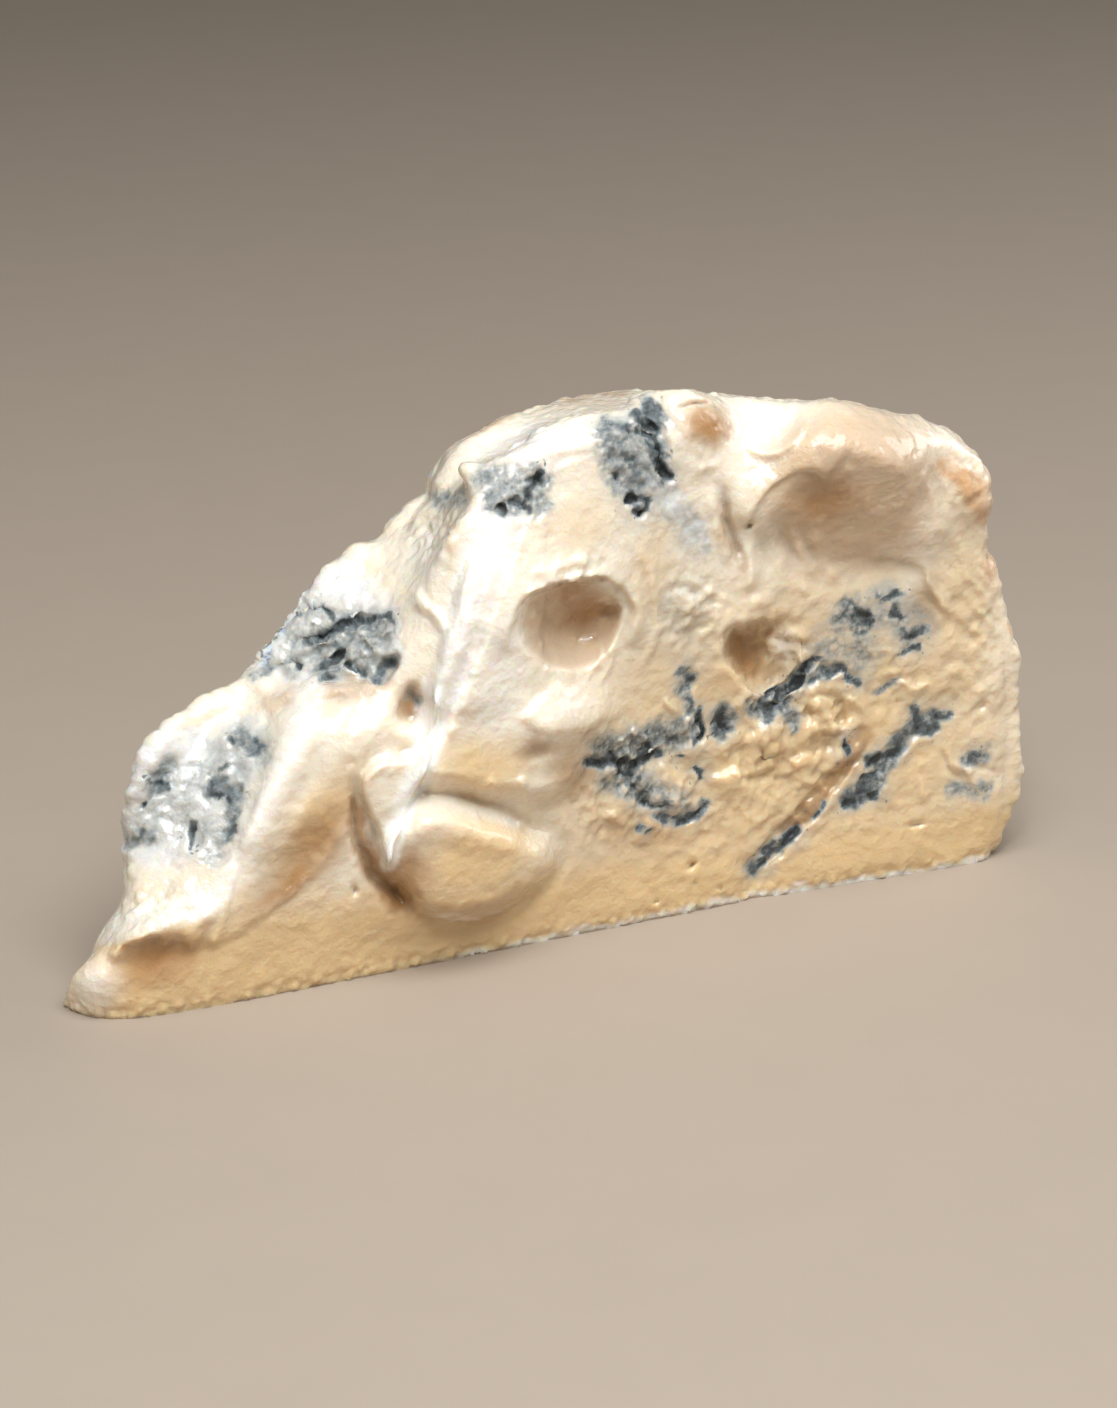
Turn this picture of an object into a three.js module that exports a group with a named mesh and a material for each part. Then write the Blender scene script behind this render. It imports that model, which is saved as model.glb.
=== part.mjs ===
// A slumped wedge of soft blue cheese, cut from a wheel that lies flat.
// Millimetres, +Z up. The front cut faces -Y and +X runs from the tip to the outer rind.
import * as THREE from "three";
import { ImprovedNoise } from "three/addons/math/ImprovedNoise.js";
import { mergeVertices } from "three/addons/utils/BufferGeometryUtils.js";

// Driving dimensions
const WHEEL_RADIUS = 145;
const WEDGE_ANGLE = THREE.MathUtils.degToRad(17);
const TIP_WIDTH = 5;
const PEAK_HEIGHT = 78;
const BACK_HEIGHT = 69.5;
const RIND_HEIGHT = 65;

// The front cut stands forward towards the tip, round its blunt end, and falls back along the face
const TOE = { reach: 6.5, round: 12, full: 20, flush: 105 };

// Grid of the solid: along the length, through the width, up the height
const STEPS = { length: 62, width: 9, height: 33 };

// Edge rounding: how far each edge of a cut face turns in, and over what share of the face
const ROUNDING = {
  front: { base: 0.5, tear: 2.5, crown: 5.5, rind: 2.5 },
  back: { base: 0.5, tear: 1.5, crown: 3.5, rind: 2.5 },
};
const ROUNDING_SHARE = { base: 0.06, tear: 0.05, crown: 0.13, rind: 0.04 };

// Outlines of the two cut faces as [distance from the wheel's axis, height]
const outline = (points) => new THREE.SplineCurve(points.map(([r, z]) => new THREE.Vector2(r, z)));

const frontFace = {
  tear: outline([
    [0, 0],
    [1, 6],
    [4.5, 10.5],
    [11.5, 14.5],
    [18.8, 16],
    [23, 21],
    [26.5, 27.5],
    [32, 36],
    [39, 40.5],
    [46, 43],
    [49.3, 50.5],
    [53.4, 59.5],
    [60.5, 68],
  ]),
  crown: outline([
    [60.5, 68],
    [73, 74],
    [85.5, PEAK_HEIGHT - 2.5],
    [92.5, PEAK_HEIGHT - 1.5],
    [102, PEAK_HEIGHT - 5],
    [117, PEAK_HEIGHT - 6.5],
    [129, RIND_HEIGHT + 1.5],
    [135, RIND_HEIGHT - 1.5],
  ]),
  rind: outline([
    [WHEEL_RADIUS - 2.5, 0],
    [WHEEL_RADIUS, 6],
    [WHEEL_RADIUS, 22],
    [WHEEL_RADIUS - 1.5, 35],
    [WHEEL_RADIUS - 4.5, 47],
    [WHEEL_RADIUS - 6.5, 57],
    [135, RIND_HEIGHT - 1.5],
  ]),
};

const backFace = {
  tear: outline([
    [3, 0],
    [7.2, 7.5],
    [11, 16.5],
    [12.5, 27],
    [14, 31.5],
    [21, 36],
    [33, 39.5],
    [42, 47.5],
    [49, 52],
    [59, 55.5],
    [65, 60.5],
    [71, 66.5],
  ]),
  crown: outline([
    [71, 66.5],
    [79, BACK_HEIGHT - 0.5],
    [92, BACK_HEIGHT],
    [106, BACK_HEIGHT - 2],
    [122, BACK_HEIGHT - 8],
    [136, BACK_HEIGHT - 13],
  ]),
  rind: outline([
    [WHEEL_RADIUS - 3, 0],
    [WHEEL_RADIUS, 6],
    [WHEEL_RADIUS, 22],
    [WHEEL_RADIUS - 2, 38],
    [WHEEL_RADIUS - 5, 49],
    [136, BACK_HEIGHT - 13],
  ]),
};

// Relief of the front cut. A mound is an oval about a point, a run follows a line of points.
// Places are [along the face, height], "half" is the half size, "edge" the share that slopes,
// "rise" is out of the face and "droop" lets the raised part sink towards the base.
const FRONT_RELIEF = [
  // The soft cream that has flowed over the middle, and the scooped hollow in it
  { kind: "mound", at: [66, 46], half: [25, 24], turn: 0, rise: 4.5, edge: 0.6, droop: 0.8 },
  { kind: "mound", at: [76.5, 44.5], half: [9.5, 9.5], turn: 0, rise: -9, edge: 0.75 },
  { kind: "run", path: [[81, 53], [83.5, 44], [76, 34], [69, 28]], half: [4, 4], rise: 2, edge: 0.9 },
  // The narrow drip that hangs from the cream, with the torn hole beside it
  {
    kind: "run",
    path: [[60.5, 63.5], [56, 53.5], [52, 44], [49, 34], [43.5, 18.5]],
    half: [6, 3.2],
    rise: 4.5,
    edge: 1,
  },
  { kind: "mound", at: [46.5, 39.5], half: [5, 5], turn: 0, rise: -6, edge: 0.9 },
  { kind: "mound", at: [41, 26], half: [7, 13], turn: 20, rise: -3, edge: 1 },
  // The rounded tongue under the drip
  { kind: "mound", at: [55.5, 17], half: [14.5, 11.5], turn: -12, rise: 7.5, edge: 0.7, droop: 2.2 },
  // The fold of cream along the torn side
  { kind: "run", path: [[40, 37], [32, 31], [25.5, 22], [21.5, 15.5]], half: [9, 6], rise: 5, edge: 1 },
  // The ragged lip over the tip, hollow below
  { kind: "run", path: [[5.5, 12], [11.5, 15.5], [19.5, 15.5]], half: [3.5, 3.5], rise: 2.2, edge: 1 },
  { kind: "run", path: [[6.5, 8.5], [12.5, 11], [19.5, 10.5]], half: [3, 3], rise: -1.2, edge: 1 },
  // The upper ridge and its crevices
  { kind: "mound", at: [79, 66.5], half: [20, 13], turn: 15, rise: 2.5, edge: 0.8 },
  { kind: "run", path: [[86.5, 77.5], [87.5, 70.5], [91.5, 62.5]], half: [3.5, 3], rise: -3.5, edge: 1 },
  { kind: "run", path: [[61.5, 67.5], [67, 65]], half: [3.5, 3.5], rise: -2.5, edge: 1 },
  { kind: "run", path: [[101, 76], [102, 66], [103, 54]], half: [6, 4], rise: -3.5, edge: 1 },
  // The waxy bulge at the upper right, dented in its middle, with the undercut below it
  { kind: "mound", at: [115, 63], half: [17, 15], turn: -8, rise: 5, edge: 0.8, droop: 1.5 },
  { kind: "mound", at: [112, 60], half: [5, 6], turn: 25, rise: -3, edge: 0.9 },
  { kind: "run", path: [[106, 52], [118, 45], [128, 42]], half: [4, 3], rise: -2.5, edge: 1 },
  // The crater and the seam of mould under it
  { kind: "mound", at: [104, 36], half: [7, 6.5], turn: 0, rise: -6, edge: 0.8 },
  { kind: "run", path: [[103, 29], [112, 33.5], [121, 31]], half: [2.8, 2.8], rise: -2.2, edge: 1 },
  // The flaky cluster beside the cream, and the straight seams in the lower right
  { kind: "run", path: [[79, 25.5], [89, 32], [97, 29]], half: [5, 5], rise: -2.5, edge: 1 },
  { kind: "run", path: [[103, 3.5], [121, 22]], half: [3, 3], rise: -2.4, edge: 0.8 },
  { kind: "run", path: [[118, 12], [133, 25]], half: [3.2, 3.2], rise: -1.4, edge: 1 },
];

// The hidden back cut has softer hollows and seams of the same kind
const BACK_RELIEF = [
  { kind: "mound", at: [95, 40], half: [34, 22], turn: 0, rise: 2.5, edge: 0.8 },
  { kind: "mound", at: [112, 46], half: [8, 7], turn: 20, rise: -5, edge: 0.8 },
  { kind: "mound", at: [70, 28], half: [9, 6], turn: -25, rise: -4, edge: 0.9 },
  { kind: "run", path: [[40, 14], [58, 22], [72, 42]], half: [3.5, 3.5], rise: -2, edge: 1 },
  { kind: "run", path: [[90, 8], [108, 26]], half: [3, 3], rise: -1.8, edge: 1 },
];

// Where the paste is broken into curds, and how rough each side of the solid is
const CURDS = { at: [103, 20], half: [34, 26], turn: 0, rise: 1, edge: 0.6 };
const ROUGHNESS = { paste: 0.45, curds: 1.2, tear: 1.3, crust: 0.7 };
const LUMP_SIZE = { paste: 9, curds: 6.5, tear: 7, crust: 11 };

// How far above the base the roughness has grown to its full height
const CLEAN_BASE = 7;

const CHEESE = { name: "cheese_wedge", colour: "#e3d3b2", roughness: 0.55 };

const { lerp, smoothstep, clamp } = THREE.MathUtils;
const noise = new ImprovedNoise();
const lump = (x, y, z, size) => noise.noise(x / size, y / size, z / size);

// Height of a relief feature at a share of its half size, 1 in the middle and 0 outside
const slopeOf = (share, edge) => 1 - smoothstep(share, 1 - edge, 1);

function moundAt({ at, half, turn, edge }, x, z) {
  const angle = THREE.MathUtils.degToRad(turn);
  const dx = x - at[0];
  const dz = z - at[1];
  const along = (dx * Math.cos(angle) + dz * Math.sin(angle)) / half[0];
  const across = (dz * Math.cos(angle) - dx * Math.sin(angle)) / half[1];
  return slopeOf(Math.hypot(along, across), edge);
}

function runAt({ path, half, edge }, x, z) {
  let best = 0;
  path.slice(1).forEach((end, leg) => {
    const start = path[leg];
    const dx = end[0] - start[0];
    const dz = end[1] - start[1];
    const reach = ((x - start[0]) * dx + (z - start[1]) * dz) / (dx * dx + dz * dz);
    const part = clamp(reach, 0, 1);
    const away = Math.hypot(x - start[0] - part * dx, z - start[1] - part * dz);
    const width = lerp(half[0], half[1], (leg + part) / (path.length - 1));
    best = Math.max(best, slopeOf(away / width, edge));
  });
  return best;
}

function reliefAt(features, x, z) {
  let rise = 0;
  let droop = 0;
  for (const feature of features) {
    const share = feature.kind === "mound" ? moundAt(feature, x, z) : runAt(feature, x, z);
    rise += share * feature.rise;
    droop += share * (feature.droop ?? 0);
  }
  return { rise, droop };
}

// A point of a cut face: straight between tear and rind, lifted towards the crown
function facePoint({ tear, crown, rind }, u, v) {
  const left = tear.getPointAt(v);
  const right = rind.getPointAt(v);
  const top = crown.getPointAt(u);
  const topStart = crown.getPointAt(0);
  const topEnd = crown.getPointAt(1);
  return new THREE.Vector2(
    lerp(left.x, right.x, u) + v * (top.x - lerp(topStart.x, topEnd.x, u)),
    lerp(left.y, right.y, u) + v * (top.y - lerp(topStart.y, topEnd.y, u)),
  );
}

// How far the front cut stands forward at a distance along it
function toeAt(x) {
  const fromEnd = 1 - clamp(x / TOE.round, 0, 1);
  const fade = clamp((TOE.flush - x) / (TOE.flush - TOE.full), 0, 1);
  return TOE.reach * Math.sqrt(1 - fromEnd * fromEnd) * fade;
}

// How far a cut face turns in at its edges
function turnIn(amounts, u, v) {
  const nearness = { base: 1 - v, tear: 1 - u, crown: v, rind: u };
  let inward = 0;
  for (const [edge, amount] of Object.entries(amounts)) {
    const share = clamp(1 - (1 - nearness[edge]) / ROUNDING_SHARE[edge], 0, 1);
    inward += amount * (1 - Math.sqrt(1 - share * share));
  }
  return inward;
}

// A point of the solid: u from tear to rind, v from base to crown, w from front cut to back cut
function wedgePoint(u, v, w) {
  const front = facePoint(frontFace, u, v);
  const back = facePoint(backFace, u, v);
  const radius = lerp(front.x, back.x, w);
  const angle = w * WEDGE_ANGLE;
  const point = new THREE.Vector3(
    radius * Math.cos(angle),
    radius * Math.sin(angle) + TIP_WIDTH * w,
    lerp(front.y, back.y, w),
  );

  const grown = smoothstep(point.z, 0, CLEAN_BASE);
  const ofFront = (1 - w) ** 2;
  const ofBack = w ** 2;

  // Relief and roughness of the two cuts, out along each cut's own normal
  const frontRelief = reliefAt(FRONT_RELIEF, front.x, front.y);
  const backRelief = reliefAt(BACK_RELIEF, back.x, back.y);
  const curds = moundAt(CURDS, front.x, front.y);
  const paste = ROUGHNESS.paste * lump(front.x, 0, front.y, LUMP_SIZE.paste);
  const broken = ROUGHNESS.curds * curds * lump(front.x, 50, front.y, LUMP_SIZE.curds);
  const behind = 2 * ROUGHNESS.paste * lump(back.x, 90, back.y, LUMP_SIZE.paste);
  const frontForm = toeAt(front.x) + frontRelief.rise - turnIn(ROUNDING.front, u, v);
  const frontOut = frontForm + grown * (paste + broken);
  const backOut = backRelief.rise + grown * behind - turnIn(ROUNDING.back, u, v);
  point.y -= ofFront * frontOut;
  point.x -= ofBack * backOut * Math.sin(WEDGE_ANGLE);
  point.y += ofBack * backOut * Math.cos(WEDGE_ANGLE);
  point.z -= grown * ofFront * frontRelief.droop;

  // Roughness of the torn side, the crown and the outer rind
  const { x, y, z } = point;
  const middle = 4 * w * (1 - w);
  if (u === 0) {
    const torn = ROUGHNESS.tear * grown * lump(x, y, z, LUMP_SIZE.tear);
    point.x -= torn;
    point.z += torn;
  }
  if (v === 1) {
    point.z += ROUGHNESS.crust * lump(x, y, 20, LUMP_SIZE.crust) - 1.2 * middle;
  }
  if (u === 1) {
    const bump = ROUGHNESS.crust * middle * grown * lump(40, y, z, LUMP_SIZE.crust);
    point.x += bump;
  }
  return point;
}

// Splits each square of the grid along its shorter diagonal, so that narrow ridges stay even
function splitShorter({ index, attributes }) {
  const place = (corner) => new THREE.Vector3().fromBufferAttribute(attributes.position, corner);
  for (let i = 0; i < index.count; i += 6) {
    const [a, b, d] = [index.getX(i), index.getX(i + 1), index.getX(i + 2)];
    const c = index.getX(i + 4);
    if (place(a).distanceTo(place(c)) < place(b).distanceTo(place(d))) {
      [a, b, c, a, c, d].forEach((corner, k) => index.setX(i + k, corner));
    }
  }
}

function wedgeGeometry() {
  const box = new THREE.BoxGeometry(1, 1, 1, STEPS.length, STEPS.width, STEPS.height);
  box.deleteAttribute("normal");
  box.deleteAttribute("uv");
  const places = box.attributes.position;
  for (let i = 0; i < places.count; i += 1) {
    const point = wedgePoint(places.getX(i) + 0.5, places.getZ(i) + 0.5, places.getY(i) + 0.5);
    places.setXYZ(i, point.x, point.y, point.z);
  }
  const solid = mergeVertices(box, 1e-3);
  splitShorter(solid);
  solid.computeBoundingBox();
  const { min, max } = solid.boundingBox;
  solid.translate(-(min.x + max.x) / 2, -(min.y + max.y) / 2, -min.z);
  solid.computeVertexNormals();
  return solid;
}

const wedge = new THREE.Mesh(
  wedgeGeometry(),
  new THREE.MeshStandardMaterial({ color: CHEESE.colour, roughness: CHEESE.roughness, metalness: 0 }),
);
wedge.name = CHEESE.name;

const cheese = new THREE.Group();
cheese.name = "blue_cheese";
cheese.add(wedge);
export default cheese;
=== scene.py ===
"""Looks of a slumped wedge of soft blue cheese: creamy paste, mould and rind, on a small studio stage."""
import math
from dataclasses import dataclass

import bmesh
import bpy
import numpy as np
from bpy.props import FloatProperty, FloatVectorProperty, IntProperty, PointerProperty
from mathutils import Matrix, Vector, noise


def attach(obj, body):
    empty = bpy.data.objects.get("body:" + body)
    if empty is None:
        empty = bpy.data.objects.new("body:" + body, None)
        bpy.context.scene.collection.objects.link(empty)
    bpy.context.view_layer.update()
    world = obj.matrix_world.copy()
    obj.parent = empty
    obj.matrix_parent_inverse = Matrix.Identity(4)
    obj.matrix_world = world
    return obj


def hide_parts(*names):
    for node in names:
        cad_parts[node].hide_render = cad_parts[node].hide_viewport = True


bl_info = {
    "name": "Blue cheese wedge",
    "version": (1, 0, 0),
    "blender": (4, 5, 0),
    "location": "View3D > Sidebar > Cheese",
    "description": "Dresses the solid of a blue cheese wedge with cream, curds, mould and rind",
    "category": "Add Mesh",
}

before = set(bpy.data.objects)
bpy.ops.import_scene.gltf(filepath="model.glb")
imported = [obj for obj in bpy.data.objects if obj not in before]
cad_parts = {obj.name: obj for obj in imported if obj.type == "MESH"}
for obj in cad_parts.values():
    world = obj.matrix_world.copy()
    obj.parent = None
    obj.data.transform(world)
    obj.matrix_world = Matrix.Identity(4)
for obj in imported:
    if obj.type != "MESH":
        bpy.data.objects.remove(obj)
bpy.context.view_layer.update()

NODE = "cheese_wedge"
MM = 0.001

# The flat foot of the solid lies below this height, with some slack once it is meshed anew, and its last
# stretch to the rind gives the front cut's plane, in millimetres
FOOT = 0.1
FOOT_SLACK = 0.3
RIND_STRETCH = 45.0

# Vertices of the solid that are this near to each other are one
WELD = 0.01 * MM

# Grid over the front on which its coarse forms are ironed out, in millimetres
GRID_FROM = np.array((-6.0, -8.0))
GRID_CELLS = (162, 96)
IRON_WIDTH = 6.0
UNFOLD_ROUNDS = 300

# How squarely a face looks at the viewpoint where it counts as the back, and where it no longer does
NOT_BACK = (-0.65, -0.45)

# The back cut's angle to the front cut, and where the ironing sets in from the back, fades towards the rind
# and sets in from the foot, as the forms do there
CUT_ANGLE = math.radians(17.0)
BACK_KEPT = (1.5, 5.0)
RIND_KEPT = (124.0, 134.0)
FOOT_KEPT = (0.0, 1.5)

# Faces turned this far away from the viewpoint, or more, belong to the plainer part of the skin
HIDDEN_FACING = -0.12

# How squarely a face looks out of a side where it begins to belong to it, and where it does wholly
FRONT_FACING = (0.02, 0.22)
FORMS_FACING = (0.0, 0.3)
BACK_FACING = (0.3, 0.6)
END_FACING = (0.45, 0.8)
CROWN_FACING = (0.55, 0.8)
BASE_FACING = (0.6, 0.9)

# Bands of the skin, in millimetres along the cut or up: where each sets in and where it is full, or where it
# begins to fade and where it has faded
END_FROM = (122.0, 132.0)
CROWN_FROM = (48.0, 58.0)
# The yellower band over the base is partly painted warm shade of light bounced from below
BUTTER_AND_WARM_SHADE_TO = (6.0, 16.0)
CRUST_FROM = (45.0, 65.0)
CRUST_TO = (0.2, 1.4)
CRUST_LUMPS_TO = (0.6, 3.0)
DETAIL_FROM = (0.0, 2.5)
END_SWELL_FROM = (3.0, 12.0)
END_SWELL_TO = (30.0, 50.0)
SOFT_FROM = (0.0, 3.0)

# Torn edges: how far noise shifts them, the size of its lumps and its seed
FRONT_TEAR = (1.0, 2.6, 3.0)
BACK_TEAR = (0.9, 2.0, 5.0)
CREAM_TEAR = (0.35, 4.0, 13.0)
PASTE_TEAR = (0.8, 2.6, 17.0)

# Noise: how fast its finer rounds weaken and shrink, and the step between seeds of one pattern
NOISE_FALL = 1.0
NOISE_STEP = 2.0
SEED_STEP = 7.0

# Noise on the skin: the size of its lumps in millimetres and its seed
CRUST_PATCHES = (4.0, 9.0)
PASTE_SWELL = (7.0, 11.0)
CURD_WARP_SIZE = 4.0
CURD_WARP_SEEDS = (81.0, 82.0, 83.0)
CURD_LUMPS = (6.0, 21.0)
CURD_FOLDS = (3.4, 22.0)
CURD_GRAIN = (1.2, 23.0)
CRUMBS = (1.5, 25.0)
FRONT_GRAIN = (1.6, 27.0)
TORN_GRAIN = (3.2, 31.0)
MOULD_CRACKS = (2.4, 41.0)
MOULD_KNOBS = (1.5, 43.0)
RIND_LUMPS = (2.2, 51.0)
RIND_WAVES = (5.0, 53.0)
EDGE_LUMPS = (2.6, 57.0)
CRUST_LUMPS = (1.4, 61.0)
CREASES = (2.8, 91.0)
STREAK_LENGTH = 11.0
STREAK_WIDTH = 1.3
STREAK_SEED = 71.0

# How far noise moves the curds' outline and the crust's edge, and the height of grain, in millimetres
CURD_WARP = 1.6
CRUST_RAGGED = 1.2
FRONT_GRAIN_HEIGHT = 0.12
TORN_GRAIN_HEIGHT = 0.5

# Shares of a zone or of a height, from 0 to 1
CURD_FOLD_SHARE = 0.5
CURD_GRAIN_SHARE = 0.15
KNOB_SHARE = 0.5
SINK_SHARE = 0.5
CRUST_WHITE = 0.6
TORN_CURDS = 0.3
SMOOTH_CREASES = 0.2

# Noise this near to zero is a crack, and a smaller share than this isn't worked out
CRACK_WIDTH = 0.3
LEAST_SHARE = 0.01

# Tones of mould at which it cracks, and at which it sinks in
MOULD_CRACKED = (0.1, 0.4)
MOULD_SUNK = (0.6, 0.95)

# Softening: the strength of one round and how much of it the foot gets, the rounds and strength after the
# forms are laid on, and the rounds and depth in millimetres that tell a hollow
SOFTEN = 0.5
FOOT_SOFTNESS = 0.25
FORM_SOFTEN = (2, 0.3)
HOLLOW_ROUNDS = 60
HOLLOW_DEPTH = 1.5

# What the finish reads from the mesh
LAYERS = ("mould", "haze", "curd", "brown", "wax", "orange", "butter", "hollow", "rind", "torn", "white")

# Grain of the finishes: the size of its lumps in millimetres, detail and roughness, and how much lighter the
# tabletop gets with its mottle
COARSE = (6.0, 3.0, 0.5)
MIDDLE = (1.9, 3.0, 0.6)
FINE = (0.7, 2.0, 0.6)
SPECKS = (0.9, 1.0, 0.5)
MOTTLE = (14.0, 4.0, 0.5)
MOTTLE_LIFT = 1.05

# Relief of the finish: strength, and depth in millimetres
MOIST_RELIEF = (0.6, 0.45)
DRY_RELIEF = (0.8, 0.6)

# Lights of the stage, by the names of their power settings: place, width and colour
LIGHTS = {
    "key": ((-0.02, -0.36, 0.75), 0.7, (0.97, 0.98, 1.0)),
    "spark": ((-0.25, -0.50, 0.62), 0.10, (1.0, 1.0, 1.0)),
    "fill": ((0.25, -0.80, 0.30), 0.8, (1.0, 0.85, 0.66)),
    "rim": ((0.80, 0.05, 0.40), 0.4, (0.93, 0.97, 1.0)),
    "edge": ((-0.80, -0.10, 0.40), 0.4, (1.0, 0.96, 0.90)),
}
LIGHTS_AIM = Vector((0.0, 0.0, 0.03))

# Shapes fade out within so many times their fade, a step tapers over this share of its path at both ends, and
# strokes of colour are this flat across and this much wider than their full tone
FADE_OUT = 4.0
STEP_TAPER = 0.12
WASH_FLAT = 0.4
STAIN_FLAT = 0.2
STAIN_SPREAD = 1.6

# The photograph's viewpoint, in millimetres from the foot of the tip on the front cut
EYE = np.array((-158.16, -552.67, 252.19))
EYE_TURN = math.radians(22.644)
EYE_DIP = math.radians(20.0)


# Shapes on a face, laid out in millimetres

def ease(low, high, value):
    """0 below low, 1 above high and a smooth step between."""
    share = np.clip((value - low) / (high - low), 0.0, 1.0)
    return share * share * (3.0 - 2.0 * share)


def curved(points, closed=False, steps=6):
    """A smooth line through the points."""
    knots = [np.array(point, float) for point in points]
    if closed:
        knots = [knots[-1], *knots, knots[0], knots[1]]
    else:
        knots = [2 * knots[0] - knots[1], *knots, 2 * knots[-1] - knots[-2]]
    line = []
    for before, start, end, after in zip(knots, knots[1:], knots[2:], knots[3:]):
        bend = 2 * before - 5 * start + 4 * end - after
        twist = 3 * start - before - 3 * end + after
        for step in range(steps):
            t = step / steps
            line.append(start + 0.5 * ((end - before) * t + bend * t * t + twist * t ** 3))
    line.append(line[0] if closed else knots[-2])
    return np.array(line)


def off_line(spots, line):
    """For each spot: how far it is from a line, how far along, from 0 to 1, and its side, 1 on the left."""
    away = np.full(len(spots), np.inf)
    along = np.zeros(len(spots))
    side = np.ones(len(spots))
    legs = len(line) - 1
    for leg in range(legs):
        step = line[leg + 1] - line[leg]
        start = spots - line[leg]
        share = np.clip(start @ step / max(step @ step, 1e-9), 0.0, 1.0)
        gap = start - share[:, None] * step
        distance = np.hypot(gap[:, 0], gap[:, 1])
        nearer = distance < away
        away[nearer] = distance[nearer]
        along[nearer] = (leg + share[nearer]) / legs
        side[nearer] = np.where(step[0] * start[nearer, 1] > step[1] * start[nearer, 0], 1.0, -1.0)
    return away, along, side


class Shape:
    """A form on a face that fades to nothing a little way off its path."""

    closed = False
    droop = 0.0

    def height(self, spots):
        line = curved(self.path, self.closed)
        low = line.min(0) - self.reach()
        high = line.max(0) + self.reach()
        near = np.flatnonzero(((spots > low) & (spots < high)).all(1))
        height = np.zeros(len(spots))
        if near.size:
            height[near] = self.profile(*off_line(spots[near], line))
        return height


@dataclass(frozen=True)
class Ridge(Shape):
    """A rounded strand along a path, or a groove where its rise is below zero."""

    path: tuple
    half: tuple
    rise: tuple
    flat: float = 0.0
    taper: float = 0.0

    def reach(self):
        return max(self.half)

    def widened(self, by):
        return Ridge(self.path, (self.half[0] + by, self.half[1] + by), self.rise)

    def profile(self, away, along, side):
        half = self.half[0] + (self.half[1] - self.half[0]) * along
        rise = self.rise[0] + (self.rise[1] - self.rise[0]) * along
        if self.taper:
            rise = rise * ease(0.0, self.taper, np.minimum(along, 1.0 - along))
        return rise * (1.0 - ease(self.flat, 1.0, away / half))


@dataclass(frozen=True)
class Ledge(Shape):
    """A step along a path: the left side stands up and eases back over its fade."""

    path: tuple
    rise: float
    edge: float = 0.5
    fade: float = 4.0
    droop: float = 0.0

    def reach(self):
        return FADE_OUT * self.fade

    def profile(self, away, along, side):
        left = away * side
        taper = ease(0.0, STEP_TAPER, along) * ease(0.0, STEP_TAPER, 1.0 - along)
        step = self.rise * taper * ease(-self.edge, self.edge, left)
        return step * np.exp(-np.maximum(left, 0.0) / self.fade)


@dataclass(frozen=True)
class Lobe(Shape):
    """A flat drop of cream with a round rim and a narrow moat about it. Its outline runs anticlockwise."""

    path: tuple
    rise: float
    edge: float = 1.5
    moat: float = 0.8
    moat_half: float = 1.0
    droop: float = 0.0
    closed = True

    def reach(self):
        return FADE_OUT * self.moat_half

    def profile(self, away, along, side):
        inward = away * side
        moat = np.exp(-(((inward + self.moat_half) / self.moat_half) ** 2))
        share = np.clip(inward / self.edge, 0.0, 1.0)
        return self.rise * np.sin(0.5 * math.pi * share) - self.moat * moat


@dataclass(frozen=True)
class Dent(Shape):
    """An oval hollow, or a bump where its rise is above zero."""

    at: tuple
    half: tuple
    rise: float
    turn: float = 0.0
    edge: float = 0.8

    def height(self, spots):
        angle = math.radians(self.turn)
        gap = spots - np.array(self.at)
        across = (gap[:, 0] * math.cos(angle) + gap[:, 1] * math.sin(angle)) / self.half[0]
        upward = (gap[:, 1] * math.cos(angle) - gap[:, 0] * math.sin(angle)) / self.half[1]
        return self.rise * (1.0 - ease(1.0 - self.edge, 1.0, np.hypot(across, upward)))


def strand(*path, half, rise=(1.0, 1.0), flat=0.0, taper=0.25):
    """A ridge or groove that tapers at its ends."""
    return Ridge(path, half, rise, flat, taper)


def patch(rise, edge, *path):
    """A flat area with a soft edge, or a hollow where its rise is below zero, outlined anticlockwise."""
    return Lobe(path, rise, edge, moat=0.0)


def wash(strength, half, *path):
    """A stripe of another colour: its strength from 0 to 1, its half width at both ends and its path."""
    return Ridge(path, half, (strength, strength), WASH_FLAT)


def stains(*strokes):
    """Strokes of mould: the depth of tone of each from 0 to 1, its half width and its path."""
    spread = [(tone, STAIN_SPREAD * half, path) for tone, half, *path in strokes]
    return tuple(Ridge(tuple(path), (half, half), (tone, tone), STAIN_FLAT) for tone, half, path in spread)


# Forms of the front as they line up from the viewpoint: millimetres along the cut, and up

# The middle of the front, whose coarse forms in the solid are ironed out before the finer ones are laid on
IRONED = patch(
    1.0, 5.0,
    (16, 6), (30, 2), (60, 2.5), (100, 3.5), (136, 5), (138, 20), (137, 35), (134, 48), (130, 57), (125, 62),
    (118, 66), (108, 69), (96, 70.5), (86, 71.5), (76, 71.5), (66, 69.5), (61, 66), (56, 60), (49, 54),
    (42, 49), (34, 42), (27, 37), (20, 31), (17, 22), (15.5, 12),
)
TONGUE = Lobe(
    (
        (46.5, 19), (45.2, 15.5), (47.3, 11.2), (51, 7), (55.5, 4.5), (61, 4), (67, 5.5), (71.2, 8.5),
        (72.4, 12), (71, 14.8), (67, 16.8), (62, 19), (57, 21.5), (52.5, 22.8), (49, 21.5),
    ),
    rise=4.2, edge=3.2, moat=0.6, moat_half=1.0, droop=0.15,
)
DRIP = Lobe(
    (
        (43, 27.5), (44, 22.5), (45.5, 18.8), (46.1, 15.5), (47, 14), (47.9, 15.5), (48.4, 18), (50.2, 22),
        (53, 27.5), (54.4, 33), (55, 38), (53.6, 38), (53.0, 33.5), (50.5, 30.5), (46.5, 30.5),
    ),
    rise=2.8, edge=0.9, moat=0.4, moat_half=0.9, droop=0.2,
)
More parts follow.
